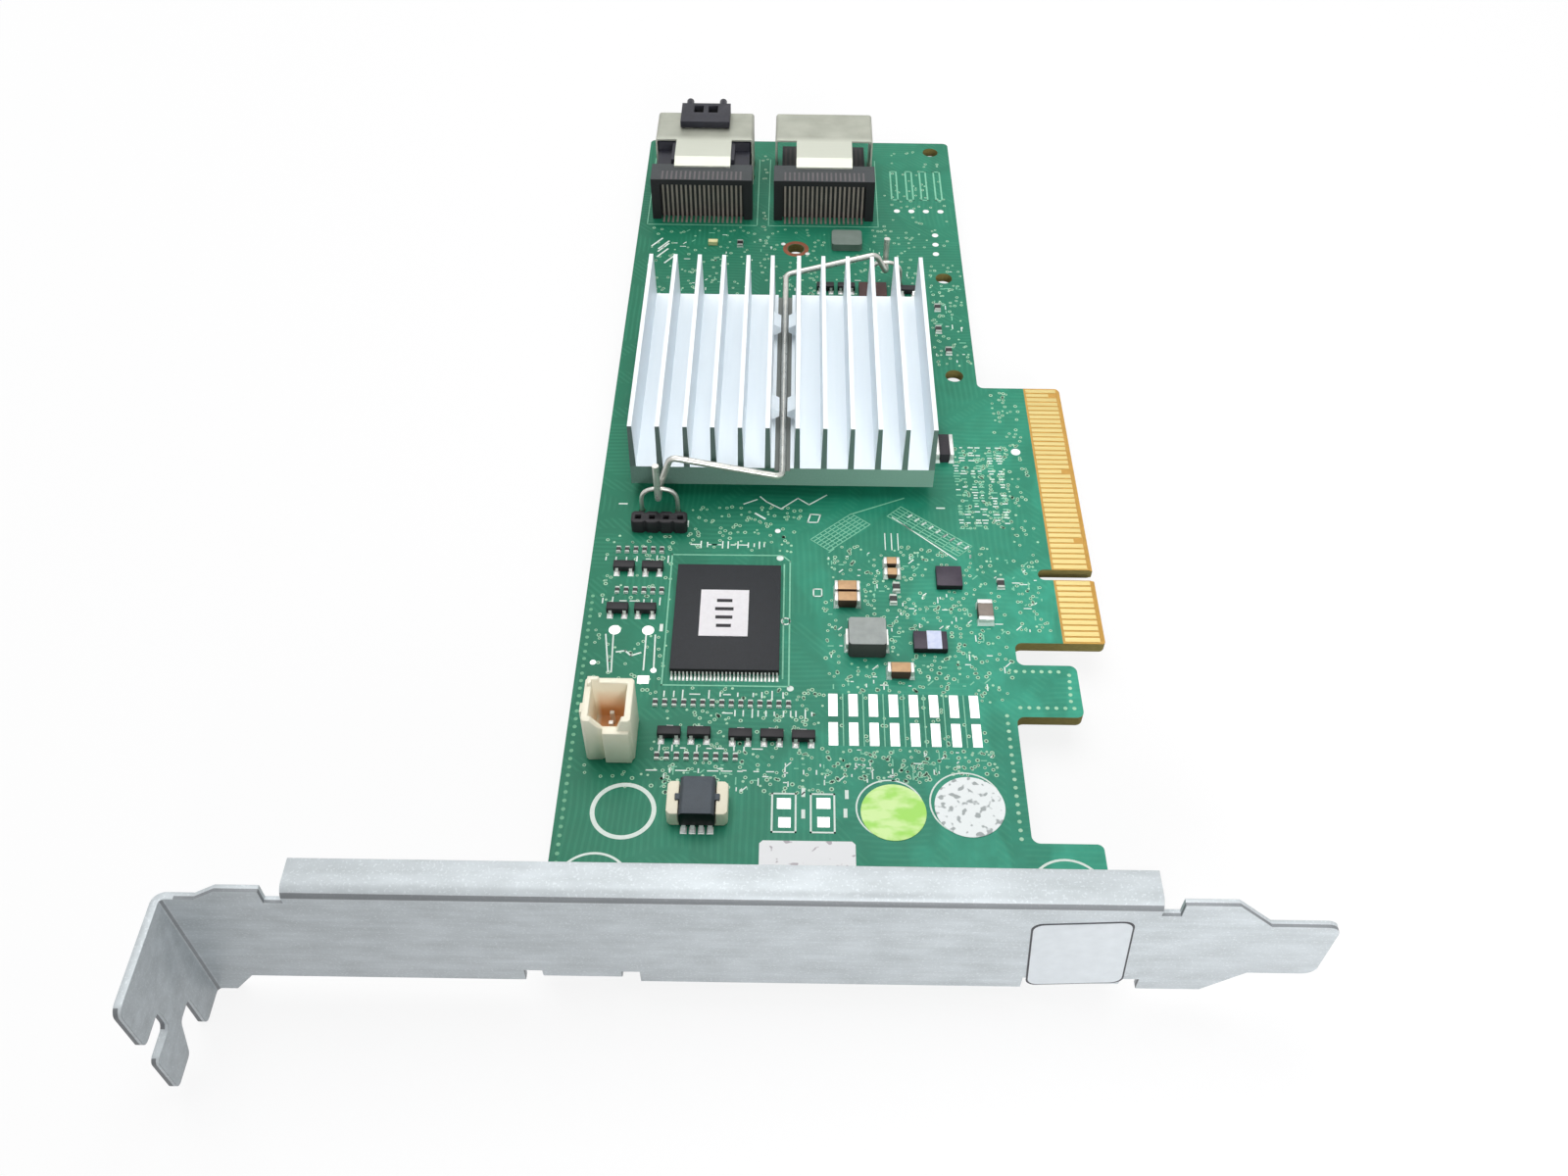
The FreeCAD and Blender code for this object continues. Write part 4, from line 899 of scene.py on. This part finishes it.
# Capacitors and resistors: fired ceramic chips with tinned ends, soldered flat. The capacitors are tan or
# brown, the resistors have a black glass top, and the one tantalum block lies beside the heatsink.
brown_from = -17.0 * mm
tan_ceramic, paint = new_finish("tan_ceramic")
across, _, _ = position(paint)
_, _, upward = facing(paint)
tan = blend(grain(paint, 1200), tint(180, 138, 96), tint(216, 176, 130))
brown = blend(grain(paint, 1200), tint(112, 102, 94), tint(148, 136, 124))
colour = blend(across > brown_from, tan, brown)
# Upright faces are painted dark brown: painted shade; the tops are tan or brown.
surface(paint, {
    "Base Color": blend(step(upward, 0.6, 0.3), tint(64, 42, 32), colour),
    "Roughness": 0.4 + grain(paint, 1200) * 0.2,
    "Normal": relief(grain(paint, 8400, 2.0), 0.02 * mm),
})
rounded("capacitor_bodies", 0.08, tan_ceramic, "ceramic_tan")
rounded("capacitor_ends", 0.08, lead_tin, "solder_tin")
resistor_glass = moulded("resistor_glass", tint(20, 20, 22), tint(42, 40, 40), 1500, 0.35, 0.01)
wear(resistor_glass, "resistor_bodies")
dull_tin = moulded("dull_tin", tint(140, 150, 142), tint(190, 198, 190), 1500, 0.4, 0.01, Metallic=0.4)
wear(dull_tin, "resistor_ends")
rounded("tantalum_capacitor", 0.1, package_black, "package_plastic")

# Transistors and small chips: dark moulded packages, soldered flat. The driver chip has a pale label on half
# of its top.
small_black = moulded("small_black", tint(20, 19, 22), tint(36, 34, 38), 1200, 0.5, 0.02)
rounded("transistor_bodies", 0.1, small_black, "package_plastic")
# Their upright faces take the near black colour: painted shade.
chip_plum = moulded("chip_plum", tint(44, 38, 50), tint(68, 58, 72), 1000, 0.4, 0.02, tint(16, 14, 18))
for name in ("regulator_chip", "driver_chip"):
    rounded(name, 0.08, chip_plum, "package_plastic")
chip_brown = moulded("chip_brown", tint(62, 42, 42), tint(92, 64, 60), 1000, 0.5, 0.02)
rounded("buffer_chip", 0.08, chip_brown, "package_plastic")
pale_film = moulded("pale_label", tint(176, 188, 226), tint(236, 240, 252), 1100, 0.5, 0.01)
wear(pale_film, "driver_chip_label")

# Lamp and oscillator: a small lamp of clear yellow resin, and a grey metal can with rounded corners. Both are
# soldered flat to the board.
lamp_yellow = moulded("lamp_yellow", tint(216, 204, 120), tint(248, 244, 200), 900, 0.25, 0.01)
wear(lamp_yellow, "status_lamp")
can_grey = moulded("can_grey", tint(102, 114, 107), tint(128, 142, 134), 600, 0.5, 0.02, Metallic=0.2)
wear(can_grey, "oscillator_can")

# Stickers: a bright green film, a white film with grey specks, and a white paper label half hidden by the
# bracket. All three are stuck flat on the mask.
film_green, paint = new_finish("green_film")
patches = step(grain(paint, 360, 3.0, (0.7, 1.4, 1)), 0.5, 0.16)
surface(paint, {
    "Base Color": blend(patches, tint(160, 226, 76), tint(212, 245, 158)),
    "Roughness": 0.35 + grain(paint, 700) * 0.2,
    "Coat Weight": 0.2,
})
wear(film_green, "green_sticker")
speckled_paper, paint = new_finish("speckled_paper")
specks = step(grain(paint, 1100, 1.0), 0.6, 0.08)
surface(paint, {
    "Base Color": blend(specks, tint(248, 253, 253), tint(170, 177, 177)),
    "Roughness": 0.55 + grain(paint, 900) * 0.15,
})
wear(speckled_paper, "white_sticker")
faint_paper, paint = new_finish("faint_paper")
specks = step(grain(paint, 1000, 1.0), 0.7, 0.05)
surface(paint, {
    "Base Color": blend(specks, tint(242, 242, 244), tint(186, 178, 184)),
    "Roughness": 0.6 + grain(paint, 900) * 0.15,
})
wear(faint_paper, "board_label")

# Slot bracket: one folded sheet of zinc plated steel, matt and finely spangled, with its edges painted
# darker.
# Two plated screws hold its tabs under the board.
zinc, paint = new_finish("zinc_plate")
spangle = grain(paint, 420, 4.0, (0.5, 1, 1))
fine_spangle = grain(paint, 3800, 2.0)
streaks = grain(paint, 900, 3.0, (0.12, 1, 1.6))
blotches = step(spangle * 0.65 + streaks * 0.35, 0.5, 0.45)
sheet_colour = blend(blotches, tint(178, 185, 188), tint(208, 215, 219))
sheet_colour = blend(step(fine_spangle, 0.62, 0.1) * 0.3, sheet_colour, tint(238, 244, 247))
across, along, up = position(paint)
side_on, front_on, up_on = facing(paint)
plate_middle = -58.6 * mm
flange_left, flange_right = -92.4 * mm, -3.6 * mm
flange_level = 14.4 * mm
ear_start = -60.6 * mm
ear_face = -105.1 * mm
fold_start, fold_end = -100.0 * mm, -103.4 * mm
over_flange = (across > flange_left) * (across < flange_right) * (up > flange_level)
on_ear = along < ear_start
# The plate's edges are painted darker, the ear's edge and fold carry painted shade, and the flange's bend a
# painted dark reflection.
arris = (abs(front_on) < 0.6) * (across > fold_end) * (along < plate_middle) * (1 - on_ear)
ear_edge = (abs(side_on) < 0.6) * (front_on < -0.45) * (across < ear_face) * on_ear
ear_fold = (side_on > 0.4) * (side_on < 0.86) * (front_on < -0.2) * (across < fold_start)
crease = over_flange * (up_on > 0.12) * (up_on < 0.6)
ear_shade = paint.maths("MAXIMUM", ear_edge * 0.8, ear_fold * 0.6)
dark_edges_and_ear_shade = paint.maths("MAXIMUM", arris * (1 - over_flange) * 0.7, ear_shade)
sheet_colour = blend(paint.maths("MAXIMUM", dark_edges_and_ear_shade, crease * 0.7), sheet_colour, tint(84, 86, 90))
surface(paint, {
    "Base Color": sheet_colour,
    "Metallic": 0.2,
    "Roughness": 0.46 + spangle * 0.12,
    "Normal": relief(fine_spangle * 0.6 + spangle * 0.4, 0.04 * mm, 0.5),
})
rounded("bracket", 0.08, zinc, "bracket_zinc")
screw_plate = moulded("screw_plate", tint(186, 188, 190), tint(220, 222, 224), 700, 0.3, 0.02, Metallic=0.9)
rounded("bracket_screws", 0.1, screw_plate, "screw_steel")

# Bracket label: a plain grey film with rounded corners and a thin dark border, stuck on the outer face a
# little askew.
label_tilt = math.radians(-5.0)
ear_reach = 12.2
label_corner = 1.2 * mm
outer_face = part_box("bracket")[0].y / mm + ear_reach
label_spot = Matrix.Translation(Vector((-10.6, outer_face, 5.4)) * mm) @ Matrix.Rotation(label_tilt, 4, "Y")
film = moulded("label_film", tint(204, 210, 214), tint(222, 228, 232), 700, 0.45, 0.02)
border_ink = moulded("border_ink", tint(58, 58, 62), tint(86, 86, 90), 900, 0.5, 0.01)
for name, width, height, depth, material in (("bracket_label_border", 10.5, 13.7, 0.05, border_ink),
                                             ("bracket_label", 10.1, 13.3, 0.08, film)):
    plate = bmesh.new()
    spread = Matrix.Diagonal(Vector((width, depth, height)) * mm).to_4x4()
    shift = Matrix.Translation((0, -depth / 2 * mm, 0))
    bmesh.ops.create_cube(plate, size=1.0, matrix=label_spot @ shift @ spread)
    runs = [(edge, edge.verts[0].co - edge.verts[1].co) for edge in plate.edges]
    through = [edge for edge, run in runs if abs(run.y) > 0.9 * depth * mm]
    bmesh.ops.bevel(plate, geom=through, offset=label_corner, offset_type="OFFSET", affect="EDGES",
                    segments=5, profile=0.5, material=-1, clamp_overlap=True)
    made(name, plate, material, "label_paper")

# Room: a white sheet under the card that keeps a soft shadow, an even white surround, one large soft lamp
# above, behind and to the left of the card, and a small one low in front that fills the bracket's face.
room_level = 0.34
sheet_half = 3.0
near_reach = 0.42


def seen(paint):
    """One for what the camera sees, straight, in gloss or through glass, and nought for light on the card."""
    ray = paint.node("LightPath", {}, {}, "Is Camera Ray")
    total = ray + ray.other("Is Glossy Ray") + ray.other("Is Transmission Ray")
    return paint.maths("MINIMUM", total, 1.0)


floor_mesh = bmesh.new()
bmesh.ops.create_grid(floor_mesh, x_segments=1, y_segments=1, size=sheet_half,
                      matrix=Matrix.Translation((0, 0, solid_box[0].z)))
floor_data = bpy.data.meshes.new("floor")
floor_mesh.to_mesh(floor_data)
floor_mesh.free()
floor = bpy.data.objects.new("floor", floor_data)
bpy.context.collection.objects.link(floor)
sheet_white, paint = new_finish("sheet_white")
grey = paint.node("BsdfDiffuse", {}, {"Color": tint(196, 196, 198)})
white = paint.node("BsdfDiffuse", {}, {"Color": tint(250, 250, 251)})
glow = paint.node("Emission", {}, {"Color": (1, 1, 1, 1), "Strength": 1.0})
spot = paint.node("TexCoord", {}, {}, "Object")
reach = paint.node("VectorMath", {"operation": "LENGTH"}, {0: spot}, "Value")
bright = paint.node("MixShader", {}, {0: 0.86 + step(reach, near_reach, 0.6) * 0.14, 1: white, 2: glow})
shader = paint.node("MixShader", {}, {0: seen(paint), 1: grey, 2: bright})
paint.node("OutputMaterial", {}, {"Surface": shader})
floor_data.materials.append(sheet_white)

world = bpy.data.worlds.new("surround")
bpy.context.scene.world = world
world.use_nodes = True
world.node_tree.nodes.clear()
paint = Paint(world.node_tree)
dim = paint.node("Background", {}, {"Color": (1, 1, 1, 1), "Strength": room_level})
white = paint.node("Background", {}, {"Color": (1, 1, 1, 1), "Strength": 1.0})
shader = paint.node("MixShader", {}, {0: seen(paint), 1: dim, 2: white})
paint.node("OutputWorld", {}, {"Surface": shader})
for name, place, target, size, spread, power in (
        ("soft_lamp", (-0.1, 0.25, 0.75), (-0.035, 0.02, 0.0), 0.7, 180, 4.8),
        ("fill_lamp", (0.08, -0.42, 0.16), (0.048, -0.059, 0.005), 0.2, 36, 0.11)):
    lamp = bpy.data.objects.new(name, bpy.data.lights.new(name, "AREA"))
    lamp.data.size = size
    lamp.data.spread = math.radians(spread)
    lamp.data.energy = power
    lamp.location = place
    lamp.rotation_euler = (Vector(target) - Vector(place)).to_track_quat("-Z", "Y").to_euler()
    bpy.context.collection.objects.link(lamp)
